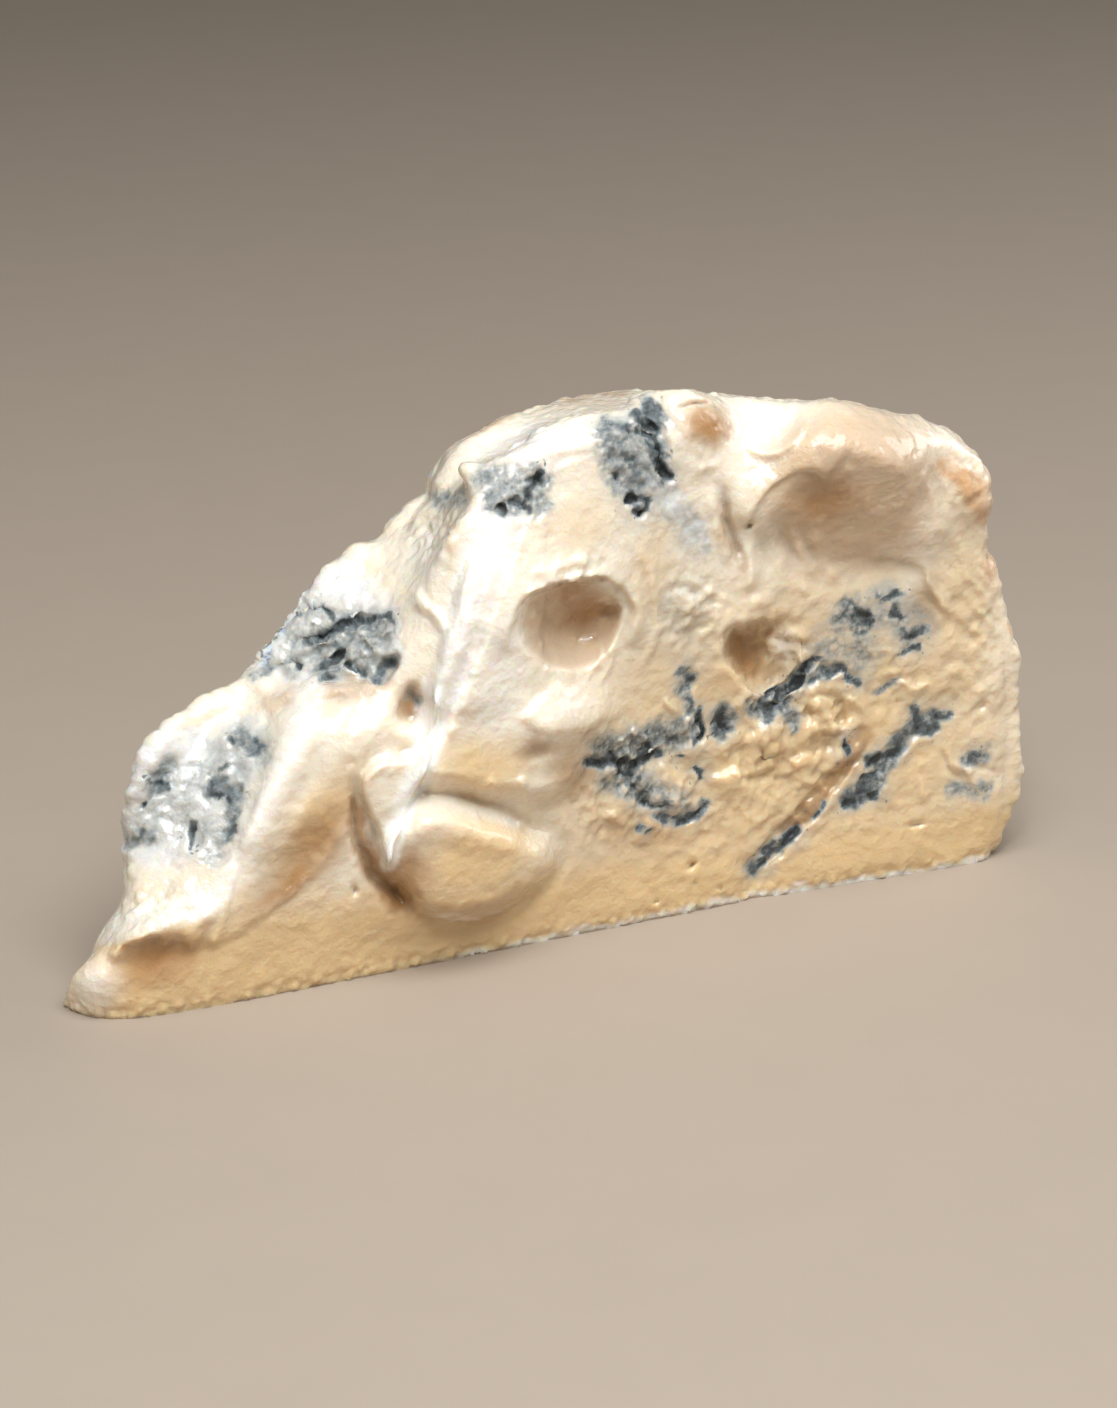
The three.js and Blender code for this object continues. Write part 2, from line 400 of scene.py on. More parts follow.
BOWL = patch(
    -6.4, 6.5,
    (66.4, 47), (67, 43.5), (69, 41), (72, 39.2), (76, 38.6), (79.4, 40.4), (81.6, 43.6), (82, 46.6),
    (80.6, 49), (78, 51), (75, 52), (71.5, 51.6), (68, 50.4),
)
CRATER = patch(
    -5.2, 3.4,
    (97.4, 39), (98.6, 36.2), (101, 33.4), (104.4, 31.4), (108, 32.6), (109.6, 36), (108.6, 40),
    (105.4, 41.8), (102, 42.4), (98.8, 41.8),
)

CREAM_FORMS = (
    # The tongue stands flat and upright with a curled lip, and the drip hangs before its left end
    TONGUE,
    DRIP,
    Dent((48.5, 13), (5, 6.5), -1.2, edge=1.0),
    Ledge(((50, 27), (54, 24.8), (58, 24), (64, 22), (70, 20.5), (80, 23)), rise=4.6, edge=2.2, fade=15.0),
    strand((48, 20), (54, 20.5), (60, 18), (68, 14), half=(5.0, 4.0), rise=(1.2, 0.8)),
    strand((50.5, 22.2), (54, 22.7), (57, 21.6), (60, 20.2), (62.5, 19), (67, 17),
           half=(1.2, 0.9), rise=(1.0, 0.5)),
    strand((52, 24.8), (57, 23.9), (61.5, 22), (67, 19.2), half=(1.5, 1.2), rise=(-1.2, -0.8)),
    strand((58.5, 20.4), (62, 18.4), (66, 17.2), half=(0.5, 0.5), rise=(0.4, 0.4)),
    strand((59.5, 24.6), (61, 23.2), (62.4, 24.4), (63.4, 22.4), half=(0.6, 0.5), rise=(0.6, 0.6)),
    Dent((67, 23.5), (1.0, 1.4), 0.9, turn=25),
    Dent((66.6, 21.6), (0.7, 0.6), -0.7),
    # The sheet of cream from the crest, its strand over the drip and the torn cave beside it
    Ledge(((60, 59), (57.6, 52), (55.6, 46), (54, 40), (53.3, 34)), rise=1.8, edge=0.8, fade=6.0),
    strand((61.5, 60), (60, 53), (57.4, 46), (55.6, 40), (54.4, 34), half=(3.6, 2.0), rise=(0.7, 1.2)),
    strand((60.8, 50), (58.8, 46), (57.4, 42), half=(2.4, 2.0), rise=(0.6, 0.6)),
    strand((50.6, 55), (52, 52), (54.5, 49.5), (55.6, 46), half=(1.5, 1.2), rise=(1.2, 1.0)),
    Dent((50.4, 36.6), (3.4, 4.6), -3.0),
    strand((49.6, 39.6), (51, 38.6), (52, 36.6), half=(0.9, 1.0), rise=(-1.4, -1.4)),
    Dent((56.8, 32.2), (1.0, 0.9), 0.4, edge=0.5),
    strand((41.6, 28), (42, 21), (43.6, 15.5), (46.6, 10.8), (51, 6.6), half=(0.7, 1.7), rise=(-2.0, -2.4)),
    # The scooped hollow with its overhanging rim, the bubble and the pocket in it, and the full lip below
    BOWL,
    Dent((69, 52), (1.5, 1.1), 0.9),
    Dent((71.6, 53.2), (1.7, 1.2), 1.0),
    Dent((74.8, 53.3), (1.5, 1.1), 0.9),
    Dent((77.6, 52.6), (1.6, 1.2), 0.9),
    Dent((80, 51), (1.5, 1.2), 0.8),
    Ledge(
        (
            (66.4, 42), (65.6, 46), (66.6, 50), (68.6, 51.6), (71, 52), (73.4, 53), (77, 52.6), (79.4, 52.4),
            (82, 50.4), (83.6, 47.4), (83.4, 44), (82, 41),
        ),
        rise=2.2, edge=0.8, fade=3.0, droop=0.5,
    ),
    Dent((80.3, 47.2), (2.4, 2.6), -1.5),
    Dent((69, 47.5), (1.7, 1.7), 1.1, edge=0.9),
    strand((83, 58), (86, 52.5), (87.5, 46), (86.6, 41), (84, 36.5), half=(1.6, 1.2), rise=(0.7, 0.7)),
    strand((79.8, 42), (80.6, 39.5), (78, 35.5), half=(0.7, 0.6), rise=(0.6, 0.5)),
    strand((78.2, 42.5), (78.6, 40), (76, 36.5), half=(0.6, 0.5), rise=(0.5, 0.4)),
    Dent((74, 31), (11, 8), 3.2, turn=4, edge=1.0),
    Ledge(((66.5, 33.8), (69, 31.2), (73, 29.8), (77, 29.8), (83, 31.8)), rise=1.2, edge=1.0, fade=5.0),
    strand((66, 28.4), (70, 27.3), (75, 27), (80, 28), half=(2.0, 2.0), rise=(-1.0, -0.8)),
    Dent((75, 23.5), (6, 4.0), -1.0),
    # The rounded tip, the fold along the torn side, its thin film and the ragged lip over the tip
    Dent((4, 4.5), (6, 6.5), 1.4, edge=1.0),
    strand((38, 42), (34.5, 35.5), (31, 29), (27.6, 22.5), (24, 16), half=(6.0, 4.0), rise=(2.6, 2.2)),
    Dent((33, 16.5), (10, 5), -1.6, turn=48, edge=1.0),
    Dent((43, 33), (9, 8), 1.4, edge=1.0),
    Ledge(((20, 6), (22.5, 6.6), (26, 8.3), (30, 10.2), (35, 13.6), (39.5, 18.2), (42, 22)),
          rise=0.7, edge=0.8, fade=5.0, droop=0.2),
    Ledge(((20.4, 5.6), (22.4, 8), (23.4, 11), (24.5, 14.5), (26, 18)), rise=0.8, edge=0.4, fade=3.0),
    Ledge(
        (
            (5.0, 10.6), (6.4, 8.6), (7.3, 7.0), (8.5, 9.0), (11, 9.5), (13.2, 9.4), (14, 8.1), (15.5, 8.8),
            (17, 8.4), (18.3, 7.1), (19.6, 9.2), (21.5, 11.5), (23, 13),
        ),
        rise=2.2, edge=1.2, fade=4.0, droop=0.5,
    ),
    Ledge(((22, 16.8), (25, 20.5), (27.5, 26), (29.5, 31), (30.5, 36), (31, 40)),
          rise=-1.6, edge=0.8, fade=5.0),
    Ledge(
        (
            (29.5, 40.4), (32, 41.6), (34.5, 41.8), (36.6, 43), (38.2, 41.8), (41, 41.4), (44, 41.6),
            (46.4, 40.8), (48.4, 43), (49.5, 46),
        ),
        rise=-2.6, edge=0.6, fade=6.0,
    ),
    strand((30, 39.2), (36, 39.4), (43, 39.2), half=(1.4, 1.4), rise=(-1.0, -1.0)),
    # The crest: a step, the smooth groove under the crust and a thin crevice
    Ledge(((53, 65), (55.5, 67), (58, 69), (61.5, 70.6)), rise=0.5, edge=1.0, fade=2.5),
    strand((58, 72.3), (66, 73.3), (75, 74.6), (85, 75.4), half=(1.6, 1.4), rise=(-0.7, -0.6)),
    strand((60, 70.4), (67, 71.2), (75, 72), half=(1.6, 1.4), rise=(0.6, 0.4)),
    strand((89.6, 74.7), (92.5, 75.1), (95.4, 74.8), half=(0.8, 0.8), rise=(-1.8, -1.8)),
    # The smooth valley: a dish with a crisp lower rim and a second lobe that ends in an arch
    Dent((105, 71), (7.5, 4.2), -1.6, turn=-14, edge=1.0),
    strand((99.4, 69.4), (102, 67.6), (104.8, 67), (107.6, 68.4), (110.8, 71.8),
           half=(1.2, 1.2), rise=(0.9, 0.7)),
    Ledge(((100.6, 56.3), (102, 59.3), (104.5, 61.9), (108, 63.6), (111.5, 63.2), (114, 61.6)),
          rise=1.3, edge=0.6, fade=5.0, droop=0.4),
    Dent((101.2, 56.7), (0.9, 0.8), -2.0),
    # The waxy bulge: its brow, the shaded face under it and the valley at its foot
    Ledge(((100, 54.5), (106, 58), (112, 59), (118, 57.6), (125, 53.6), (133, 47)),
          rise=3.6, edge=4.5, fade=9.0),
    strand((104, 65), (111, 66.5), (118, 66), (125, 62.5), (130, 56.5), half=(6.5, 6.0), rise=(1.2, 2.4)),
    strand((100.5, 57), (106, 53), (114, 49.8), (122, 47.8), (131, 45), half=(6.0, 5.0), rise=(-2.2, -1.8)),
    Dent((112, 59.8), (7.0, 4.4), -1.5, turn=-8, edge=1.0),
    strand((117.2, 61), (117.4, 57.5), (118.4, 53), half=(0.7, 0.6), rise=(0.3, 0.3)),
    strand((119.4, 60.5), (119.8, 57), (120.6, 54), half=(0.6, 0.6), rise=(0.25, 0.25)),
    Ledge(
        (
            (119.5, 49.2), (122, 49.5), (125, 48.8), (127.5, 47.6), (129, 46), (129.6, 43.6), (130.6, 41.5),
            (133.4, 39),
        ),
        rise=0.8, edge=0.4, fade=2.5, droop=0.3,
    ),
    strand((124, 66), (128, 61), (130.6, 55), (132, 49), half=(1.1, 1.0), rise=(0.5, 0.4)),
    strand((128.6, 63.5), (131.4, 59.5), (133.2, 54.5), half=(0.9, 0.8), rise=(0.4, 0.4)),
    strand((133.4, 52), (135, 47), (136, 42), half=(1.0, 0.9), rise=(0.5, 0.4)),
    # Drawn streaks at the foot of the valley and the yellow fold on its left
    strand((103.4, 57.4), (105, 53), (107.4, 47.6), half=(2.0, 1.6), rise=(0.8, 0.7)),
    strand((106.8, 56.8), (109, 52), (111.8, 46.6), half=(2.0, 1.6), rise=(0.9, 0.7)),
    strand((110.4, 55), (112.6, 50.6), (115.2, 45.6), half=(1.8, 1.4), rise=(0.8, 0.6)),
    strand((96.6, 64), (97.6, 58.5), (99, 54.5), (100.1, 51), half=(1.4, 1.1), rise=(-1.2, -1.3)),
    strand((95, 64), (96, 58.5), (97.4, 54.2), (98.4, 50.6), half=(1.5, 1.2), rise=(0.7, 0.7)),
    strand((100.6, 55.5), (101.6, 52), (101.6, 48.8), (101, 46.8), half=(1.8, 1.5), rise=(0.9, 1.6)),
)

PASTE_FORMS = (
    # Folds of the upper patch on the torn side
    strand((33.6, 46.3), (36.5, 47.6), (39.5, 48.4), (41.5, 49.6), half=(1.1, 0.9), rise=(0.9, 0.8)),
    strand((35.2, 48), (38, 48.9), (40, 49.7), (43, 50.4), (47.4, 50), half=(0.9, 0.8), rise=(-1.8, -1.3)),
    Dent((39.3, 45.5), (2.0, 1.2), -1.9, turn=25),
    Dent((43, 46.8), (2.4, 2.8), 0.8, turn=-20, edge=0.5),
    strand((41.2, 44.5), (42.4, 43.5), (43.6, 42.7), half=(0.6, 0.6), rise=(-1.2, -1.2)),
    Dent((46.8, 42.8), (1.9, 1.7), -0.7),
    strand((37.6, 43.3), (40.5, 43.7), (43.4, 42.2), half=(0.9, 0.8), rise=(0.7, 0.6)),
    strand((34.2, 51.2), (37, 52.3), (39.8, 51.6), half=(0.8, 0.7), rise=(-1.0, -0.9)),
    strand((45.4, 47.4), (47.6, 48.6), (48.8, 50.2), half=(1.0, 0.9), rise=(0.8, 0.7)),
    strand((31, 44.6), (33, 45.4), (35, 45), (36.6, 43.8), half=(0.8, 0.8), rise=(-0.8, -0.8)),
    # Thin skins and ridges of the right
    strand((129.6, 47.4), (129.9, 44.2), (131.4, 41.6), (133.4, 39.2), half=(0.6, 0.6), rise=(0.7, 0.7)),
    strand((118.4, 39.6), (119.8, 36.2), (121.8, 33), half=(0.6, 0.5), rise=(0.5, 0.5)),
    strand((120.4, 36.2), (123, 35.4), (124.8, 34.6), (125, 32.6), half=(0.6, 0.5), rise=(0.6, 0.5)),
    strand((125, 30.2), (127, 28.8), (130.8, 29.2), half=(0.8, 0.7), rise=(0.7, 0.6)),
    strand((128.6, 18.4), (129.2, 14.4), (130.2, 10), half=(0.5, 0.5), rise=(0.5, 0.4)),
    strand((131.8, 19.4), (134.2, 15.4), (136.8, 12.2), half=(0.9, 0.8), rise=(-0.8, -0.6)),
    strand((133, 19.2), (135.4, 15.6), (138, 12.6), half=(0.8, 0.7), rise=(0.6, 0.5)),
    Dent((116.2, 26.2), (2.0, 1.9), -1.2),
    Dent((110.8, 27.6), (1.5, 1.7), -1.0),
    Dent((138.5, 24.3), (0.9, 0.7), -1.2),
    Dent((129.4, 40.5), (2.6, 5.5), -0.9, edge=1.0),
    # Crevices of the two mould patches below the crest
    strand((84, 74), (85.6, 71.5), (86.6, 69), (88, 65.8), (89.2, 64.3), half=(1.4, 1.0), rise=(-2.6, -1.6)),
    strand((88, 73.4), (89.4, 69.5), (91, 66), half=(1.6, 1.4), rise=(1.0, 0.7)),
    Dent((69, 67), (1.8, 1.6), -1.3),
    Dent((64, 63.2), (1.3, 1.4), -1.1),
    strand((65, 65), (66.6, 63.8), (68, 62.5), half=(0.8, 0.8), rise=(-1.4, -1.4)),
    Dent((83.3, 62.5), (1.2, 1.0), -1.3),
    Dent((84.2, 60.7), (1.2, 1.0), -1.3),
    Dent((81, 66), (1.0, 1.0), -1.0),
    # The crater under its sharp left rim and lumpy brow
    CRATER,
    Dent((106, 37.2), (5, 5), 3.6, turn=30, edge=1.0),
    Ledge(
        ((104.5, 30.6), (101, 33), (98.4, 36), (97.1, 39), (98, 42), (100.4, 43), (103, 42), (106.5, 41.4)),
        rise=1.9, edge=0.35, fade=4.0,
    ),
    Dent((106, 43), (1.9, 1.5), 0.8),
    Dent((102.5, 45), (1.8, 1.5), 0.8),
    Dent((104.6, 39), (1.5, 1.3), 0.7),
    # Seams of mould: grooves that the blue lies in
    strand((103.5, 30), (105, 31.2), (108, 32.2), (110, 34.5), (112.4, 35.5),
           half=(1.0, 0.9), rise=(-1.6, -1.5)),
    strand((106, 33.4), (109, 35.2), (111.4, 37), half=(1.6, 1.4), rise=(0.8, 0.7)),
    strand((112, 33.8), (116, 33), (119.5, 31), half=(1.0, 0.9), rise=(-1.2, -1.0)),
    strand((93.6, 29.8), (93.7, 27.5), (94.4, 25.2), half=(0.9, 0.8), rise=(-1.6, -1.2)),
    Dent((97.4, 28), (2.3, 2.9), -1.0, turn=-15),
    Dent((92.2, 35), (1.4, 2.1), -0.8, turn=-20),
    strand((77, 25), (80, 24.6), (83, 23.5), (84.6, 22), half=(1.1, 1.2), rise=(-1.0, -1.2)),
    strand((84, 20), (86, 17.3), (89.8, 17), half=(0.9, 0.8), rise=(-1.2, -1.0)),
    strand((87.6, 15), (92, 14.2), (95, 16), half=(1.0, 1.0), rise=(-0.7, -0.7)),
    # Loose flakes and curled strands beside them
    strand((77.5, 27), (79, 28.5), (80.5, 30.4), half=(0.9, 0.7), rise=(0.9, 0.8)),
    strand((81, 26.6), (83, 28), (84.6, 28.6), half=(0.9, 0.8), rise=(1.0, 0.9)),
    strand((85.6, 24.6), (87, 25.4), (88.6, 24.8), half=(0.8, 0.7), rise=(0.9, 0.8)),
    strand((88.2, 33), (89.6, 31.4), (90.8, 29.8), half=(0.9, 0.8), rise=(1.2, 1.0)),
    strand((91, 27.5), (92, 29), (93, 30), half=(0.8, 0.7), rise=(0.9, 0.8)),
    strand((110, 29.5), (113, 27.6), (115.4, 24.4), (117.6, 23.8), (119.4, 25.6),
           half=(1.1, 0.9), rise=(1.0, 0.9)),
    strand((116, 29.5), (118.6, 28), (120.6, 25.6), half=(1.0, 0.8), rise=(0.9, 0.8)),
    strand((111.5, 31), (114.6, 29.4), (117, 26.8), half=(0.9, 0.7), rise=(-0.8, -1.0)),
    Dent((104.5, 24.8), (4.5, 2.2), 1.2, turn=8),
    Dent((110.5, 20), (4.2, 2.4), 1.2, turn=20),
    Dent((98.5, 18.5), (3.8, 3.0), 1.0),
    Dent((104.2, 22.3), (1.6, 1.1), -1.2),
    # Lumps in the straight channel, the vein beside it and the ridge under that
    Dent((104.2, 6.4), (1.2, 1.0), 1.0, turn=45),
    Dent((106.6, 8.6), (1.1, 0.9), 0.9, turn=45),
    Dent((109.4, 11.4), (1.7, 1.1), 1.4, turn=30),
    Dent((111.8, 13.6), (1.6, 1.1), 1.3, turn=40),
    Dent((113.6, 15.4), (1.2, 1.0), 1.0, turn=40),
    Dent((115.8, 18), (1.1, 0.9), 0.8, turn=45),
    Dent((118.6, 21), (1.3, 1.0), 0.9, turn=45),
    strand((102, 3.6), (105, 7), (110, 11.5), (114, 15.6), (117.4, 19), (119.8, 22.4),
           half=(1.9, 1.7), rise=(-1.5, -1.1), flat=0.6),
    strand((117, 13.4), (120, 14.6), (122, 17), (125, 20), (128, 22.6), (131, 25),
           half=(1.7, 1.7), rise=(-0.4, -0.4)),
    strand((124, 17.6), (127, 19.2), (130, 20.6), (134, 21.8), half=(1.2, 1.0), rise=(0.4, 0.4)),
    strand((135.5, 15.4), (137.6, 13.2), (140, 11.8), half=(0.8, 0.7), rise=(0.7, 0.6)),
    strand((136.4, 17.4), (138.4, 15.2), (141, 13.6), half=(0.9, 0.8), rise=(-0.7, -0.6)),
    # Small pits in the smooth band over the base
    Dent((93, 7), (1.2, 0.9), -1.8),
    Dent((93.7, 4.2), (0.7, 0.5), -1.1),
    Dent((87, 2.5), (0.7, 0.5), -1.1),
    Dent((97.2, 2.7), (0.7, 0.5), -1.1),
    Dent((41.5, 11.3), (0.8, 1.4), -1.4, turn=20),
    strand((127, 8.3), (128.6, 7.7), (130.4, 8.2), half=(0.6, 0.6), rise=(-1.2, -1.2)),
)

# Mould of the front, wide pale tints first and small dark accents after them: tone, half width and path
FRONT_MOULD = stains(
    # Right of the peak
    (0.64, 1.9, (79.6, 72.8), (83.8, 72.4)),
    (0.95, 0.6, (82.4, 73.4), (82.6, 72.5)),
    (0.90, 0.5, (83.7, 72.5), (83.9, 72.3)),
    (0.80, 1.5, (85.6, 75), (86.8, 73)),
    (0.85, 0.6, (83.4, 74.8), (84.1, 74.2), (85.4, 72.7)),
    (0.80, 1.5, (85.6, 72), (87, 69), (88.2, 65.6)),
    (0.90, 0.7, (88.3, 65.9), (88.7, 65.3)),
    (0.54, 3.4, (81.5, 70.4), (84.4, 66)),
    (0.48, 1.9, (81, 66), (83.6, 64)),
    (0.95, 0.8, (82.9, 63), (84.2, 62.2), (85.5, 61.4)),
    (0.95, 0.7, (83.8, 60.9), (84.8, 60.6)),
    (0.80, 0.5, (80.7, 66.9), (80.9, 66.5)),
    (0.80, 0.5, (82.6, 67.3), (82.8, 67.1)),
    (0.18, 2.4, (86, 65), (90, 59.5), (94, 54.4)),
    # Under the crest
    (0.44, 2.2, (61.6, 68.4), (66.6, 67)),
    (0.34, 1.4, (55, 66.3), (57.6, 66)),
    (0.52, 1.8, (62.8, 65), (65.8, 64)),
    (0.95, 0.7, (63.4, 63.8), (63.7, 63.2)),
    (0.95, 0.7, (67.6, 64.8), (68.3, 66.4), (70, 67.8)),
    (0.52, 1.8, (68.2, 67.6), (69.8, 66.4)),
    (0.45, 1.6, (68.4, 65), (70, 63.6)),
    (0.75, 0.6, (66.4, 63.6), (68.4, 62.8)),
    # Upper patch of the torn side
    (0.46, 3.0, (36.6, 48.6), (40, 48.8), (45.4, 48.2)),
    (0.40, 2.4, (38, 44.8), (44, 45)),
    (0.36, 2.2, (33.4, 45.6), (36.6, 52)),
    (0.92, 0.8, (36, 48.2), (38.4, 48.9)),
    (0.80, 0.6, (38.4, 49), (42, 50.3), (47.2, 50)),
    (0.90, 0.9, (38, 45), (40.6, 46.2)),
    (0.85, 0.5, (41.4, 44.4), (43.4, 42.9)),
    (0.62, 0.9, (37.8, 42.9), (39.8, 44)),
    (0.50, 1.2, (45.8, 42.2), (47.6, 43.8)),
    (0.85, 0.6, (46.8, 49.8), (47.4, 49.6)),
    (0.80, 0.5, (38.6, 53), (39.9, 51)),
    (0.80, 0.4, (33, 46), (33.2, 45.8)),
    (0.80, 0.5, (34.3, 44.7), (34.7, 44.5)),
    (0.80, 0.4, (36.6, 51.1), (36.8, 51)),
    (0.48, 1.0, (28.2, 44.5), (30, 45.2)),
    # Lower patch of the torn side
    (0.24, 5.0, (14, 27), (20, 30), (26, 33)),
    (0.62, 1.6, (26.2, 35.6), (28, 34)),
    (0.85, 0.5, (24.4, 35.6), (24.6, 35.4)),
    (0.85, 0.5, (28, 35.6), (28.2, 35.2)),
    (0.62, 1.7, (22, 29.6), (25, 27.8)),
    (0.92, 0.6, (21.4, 29.7), (22.4, 28.6), (23.2, 28.2)),
    (0.85, 0.5, (24.2, 27.5), (24.6, 26.8)),
    (0.52, 1.1, (24.4, 26.6), (24.2, 24), (23.8, 21.5)),
    (0.26, 2.2, (21.4, 23.6), (21.6, 19.6)),
    (0.50, 1.5, (13.2, 30), (15.4, 33)),
    (0.88, 0.5, (14.3, 31.8), (15.2, 30.3)),
    (0.85, 0.5, (13.1, 31.8), (13.4, 31.4)),
    (0.80, 0.4, (12.5, 28.5), (12.7, 28.3)),
    (0.50, 1.1, (10.8, 23.2), (13, 23.4)),
    (0.85, 0.5, (11.3, 24.9), (11.5, 24.2)),
    (0.82, 0.5, (18.9, 24.4), (18.8, 22.6), (18.4, 21.2)),
    (0.70, 0.5, (23, 31.9), (24.6, 31.9)),
    # The cave beside the drip
    (0.16, 0.7, (50.2, 39.2), (51.2, 38.2), (51.6, 37.2)),
    # The flaky cluster
    (0.44, 2.6, (80, 26.6), (86, 26.6), (91.6, 28)),
    (0.36, 2.8, (81, 22), (86, 19), (90, 16.6)),
    (0.62, 1.3, (82.8, 25), (83.6, 21)),
    (0.66, 1.2, (77.4, 25), (81, 24.2)),
    (0.95, 0.8, (80.6, 25), (81.2, 23.4)),
    (0.95, 0.8, (84.6, 23.6), (85.8, 24.6)),
    (0.90, 0.6, (77, 24.8), (78, 25)),
    (0.72, 0.7, (86.4, 24.6), (88.2, 24)),
    (0.90, 0.45, (84.1, 20.4), (84.4, 20.2)),
    (0.85, 0.45, (86.3, 20.1), (86.5, 19.9)),
    (0.85, 0.45, (84.9, 21.7), (85.2, 21.5)),
    (0.90, 0.5, (85.6, 27.7), (85.8, 27.5)),
    (0.90, 0.5, (86, 26.5), (86.1, 26)),
    (0.80, 0.4, (91.1, 23.8), (91.3, 23.6)),
    (0.55, 1.0, (90.8, 34), (92.2, 32.4), (92, 30)),
    (0.62, 0.8, (91.4, 36.4), (92.4, 35)),
    (0.50, 1.0, (90.6, 29.6), (92.6, 27)),
    (0.92, 0.5, (93.8, 30), (93.6, 27.5), (93.4, 25.2)),
    (0.66, 2.1, (97.1, 28.6), (97.5, 27.6)),
    (0.90, 0.6, (96.8, 29.2), (97.8, 26.8)),
    (0.85, 0.6, (93.6, 21.6), (94, 20.8)),
    (0.80, 0.4, (84.8, 19), (85, 18.2), (86, 17.5)),
    (0.66, 0.8, (88.6, 17.2), (90, 16.9)),
    (0.60, 0.9, (90.4, 14.2), (92.6, 14.4), (94.6, 16)),
    (0.80, 0.5, (91.6, 14), (92.4, 14.1)),
    (0.50, 0.7, (87.4, 15.2), (89.4, 15)),
    (0.62, 0.6, (85.3, 13.8), (85.8, 13.5)),
    (0.12, 4.5, (91, 47), (94, 40)),
    # The dark seam under the crater
    (0.62, 1.8, (104.4, 29.4), (107.4, 30.6), (110, 33.4)),
    (0.97, 0.5, (103.8, 30.4), (104.4, 31.4), (106, 31.7), (107.3, 31.1), (108.6, 32.4), (110.4, 34.9),
     (112.4, 35.4)),
    (0.66, 1.0, (104, 29.6), (104.6, 27.6)),
    (0.40, 1.6, (102, 30), (103.6, 28.6)),
    (0.62, 0.9, (112.6, 33.6), (115.6, 33.4)),
    (0.85, 0.5, (115.6, 33.2), (117, 31.8), (118.6, 31.2)),
    (0.38, 1.3, (107.4, 28.6), (108.6, 26.4)),
    (0.26, 3.6, (114, 37), (119, 35)),
    # Flecks by the rind
    (0.50, 1.8, (116, 41), (117.4, 42.6), (119, 39.6)),
    (0.92, 0.7, (118.3, 42.3), (119.3, 41), (119.8, 39.6)),
    (0.26, 3.4, (122, 42), (127, 38)),
    (0.70, 0.7, (121.8, 43.1), (125.4, 43.4)),
    (0.92, 0.8, (123.8, 41), (125.4, 40.8)),
    (0.72, 0.9, (125.2, 37.8), (126.4, 37.2), (128.8, 37.6)),
    (0.72, 0.5, (125.8, 34.5), (128, 34.9)),
    (0.40, 0.8, (122, 29.4), (125, 30)),
    # The channel and the vein
    (0.55, 1.3, (102.6, 5), (105, 7), (108.6, 8.8)),
    (0.95, 0.7, (103.4, 5.2), (104.4, 5.6)),
    (0.95, 0.9, (107.4, 8.2), (109.2, 9)),
    (0.66, 0.5, (112, 11.8), (113.6, 13)),
    (0.90, 0.5, (117.2, 22.4), (117.2, 20.4)),
    (0.60, 1.7, (118, 13.6), (121.4, 15), (122, 17), (125, 20)),
    (0.92, 0.8, (117, 13), (118.2, 13.4)),
    (0.90, 0.8, (119.4, 13.4), (122, 13.6)),
    (0.88, 0.7, (119.6, 16.4), (121.6, 16.2)),
    (0.92, 0.9, (120.8, 18.6), (123, 19.2), (125.2, 19.8)),
    (0.46, 1.4, (125, 21), (128, 23)),
    (0.72, 1.0, (127.8, 25.8), (128.2, 24), (129.2, 22.6), (130.6, 22.4)),
    (0.62, 1.2, (130.4, 23.8), (132.8, 24.2)),
    (0.42, 1.4, (136.8, 16.4), (139.4, 17)),
    (0.72, 0.6, (137.6, 17.4), (138, 17.1)),
    (0.32, 1.5, (134.6, 12.4), (140, 11.4)),
)

# How much further the grey tint in the paste reaches than the mould itself
HAZE_REACH = 3.8

# Patches of chalky crumbs: two torn ones on the left, two under the crest and a pale streak
TORN_ZONES = (
    patch(1.0, 3.0, (10, 19.5), (20, 18), (25.5, 21), (29.5, 30), (31, 37), (28, 39.5), (21, 38.5), (15, 40),
          (8, 34), (7, 25)),
    patch(1.0, 2.5, (27, 43.5), (34, 42), (41, 41.6), (48.6, 42), (50, 48), (47, 55), (41, 60), (34, 55),
          (28, 48)),
    patch(0.8, 2.0, (60, 69), (61, 63), (66, 61.4), (71, 63), (71, 68.4), (66, 70)),
    patch(0.8, 2.0, (78, 73), (79.5, 66), (83, 60), (87, 60), (90, 64), (89, 70), (87, 76), (82, 76)),
    patch(0.9, 1.5, (84, 66), (88, 60), (93, 53.6), (96, 54.4), (92.4, 61), (88.6, 66.6)),
)

# Lumpy curds of the front, as ovals whose rise is how lumpy they are
CURD_ZONES = (
    Dent((93, 45.5), (7.5, 7.0), 0.9),
    Dent((106, 37.5), (8, 8), 1.0),
    Dent((85, 20), (16, 12), 0.9, edge=0.6),
    Dent((108, 24), (16, 14), 1.0, edge=0.6),
    Dent((137, 32), (10, 22), 0.5),
    Dent((124, 30), (11, 11), 0.6),
    Dent((94.5, 67), (4, 4), 0.5),
    Dent((74.5, 53.5), (9, 3.0), 0.8),
    Dent((55, 61), (6, 5), 0.7),
    Dent((135, 59), (4.5, 6.5), 0.9),
    Dent((14, 13), (10, 5), 0.9),
    Dent((106, 13), (36, 11), 0.5),
    Dent((112, 46), (10, 5), 0.4),
)

# Fine crumbs of the front
CRUMB_ZONES = (
    Dent((93, 44), (8, 8), 1.0),
    Dent((106, 38), (7, 6), 1.0),
    Dent((87, 21), (13, 9), 0.8),
    Dent((14, 14), (11, 6), 0.6),
    Dent((74, 53.5), (9, 2.6), 0.9),
    Dent((95, 68), (5, 6), 0.6),
    Dent((108, 24), (13, 10), 0.5),
)

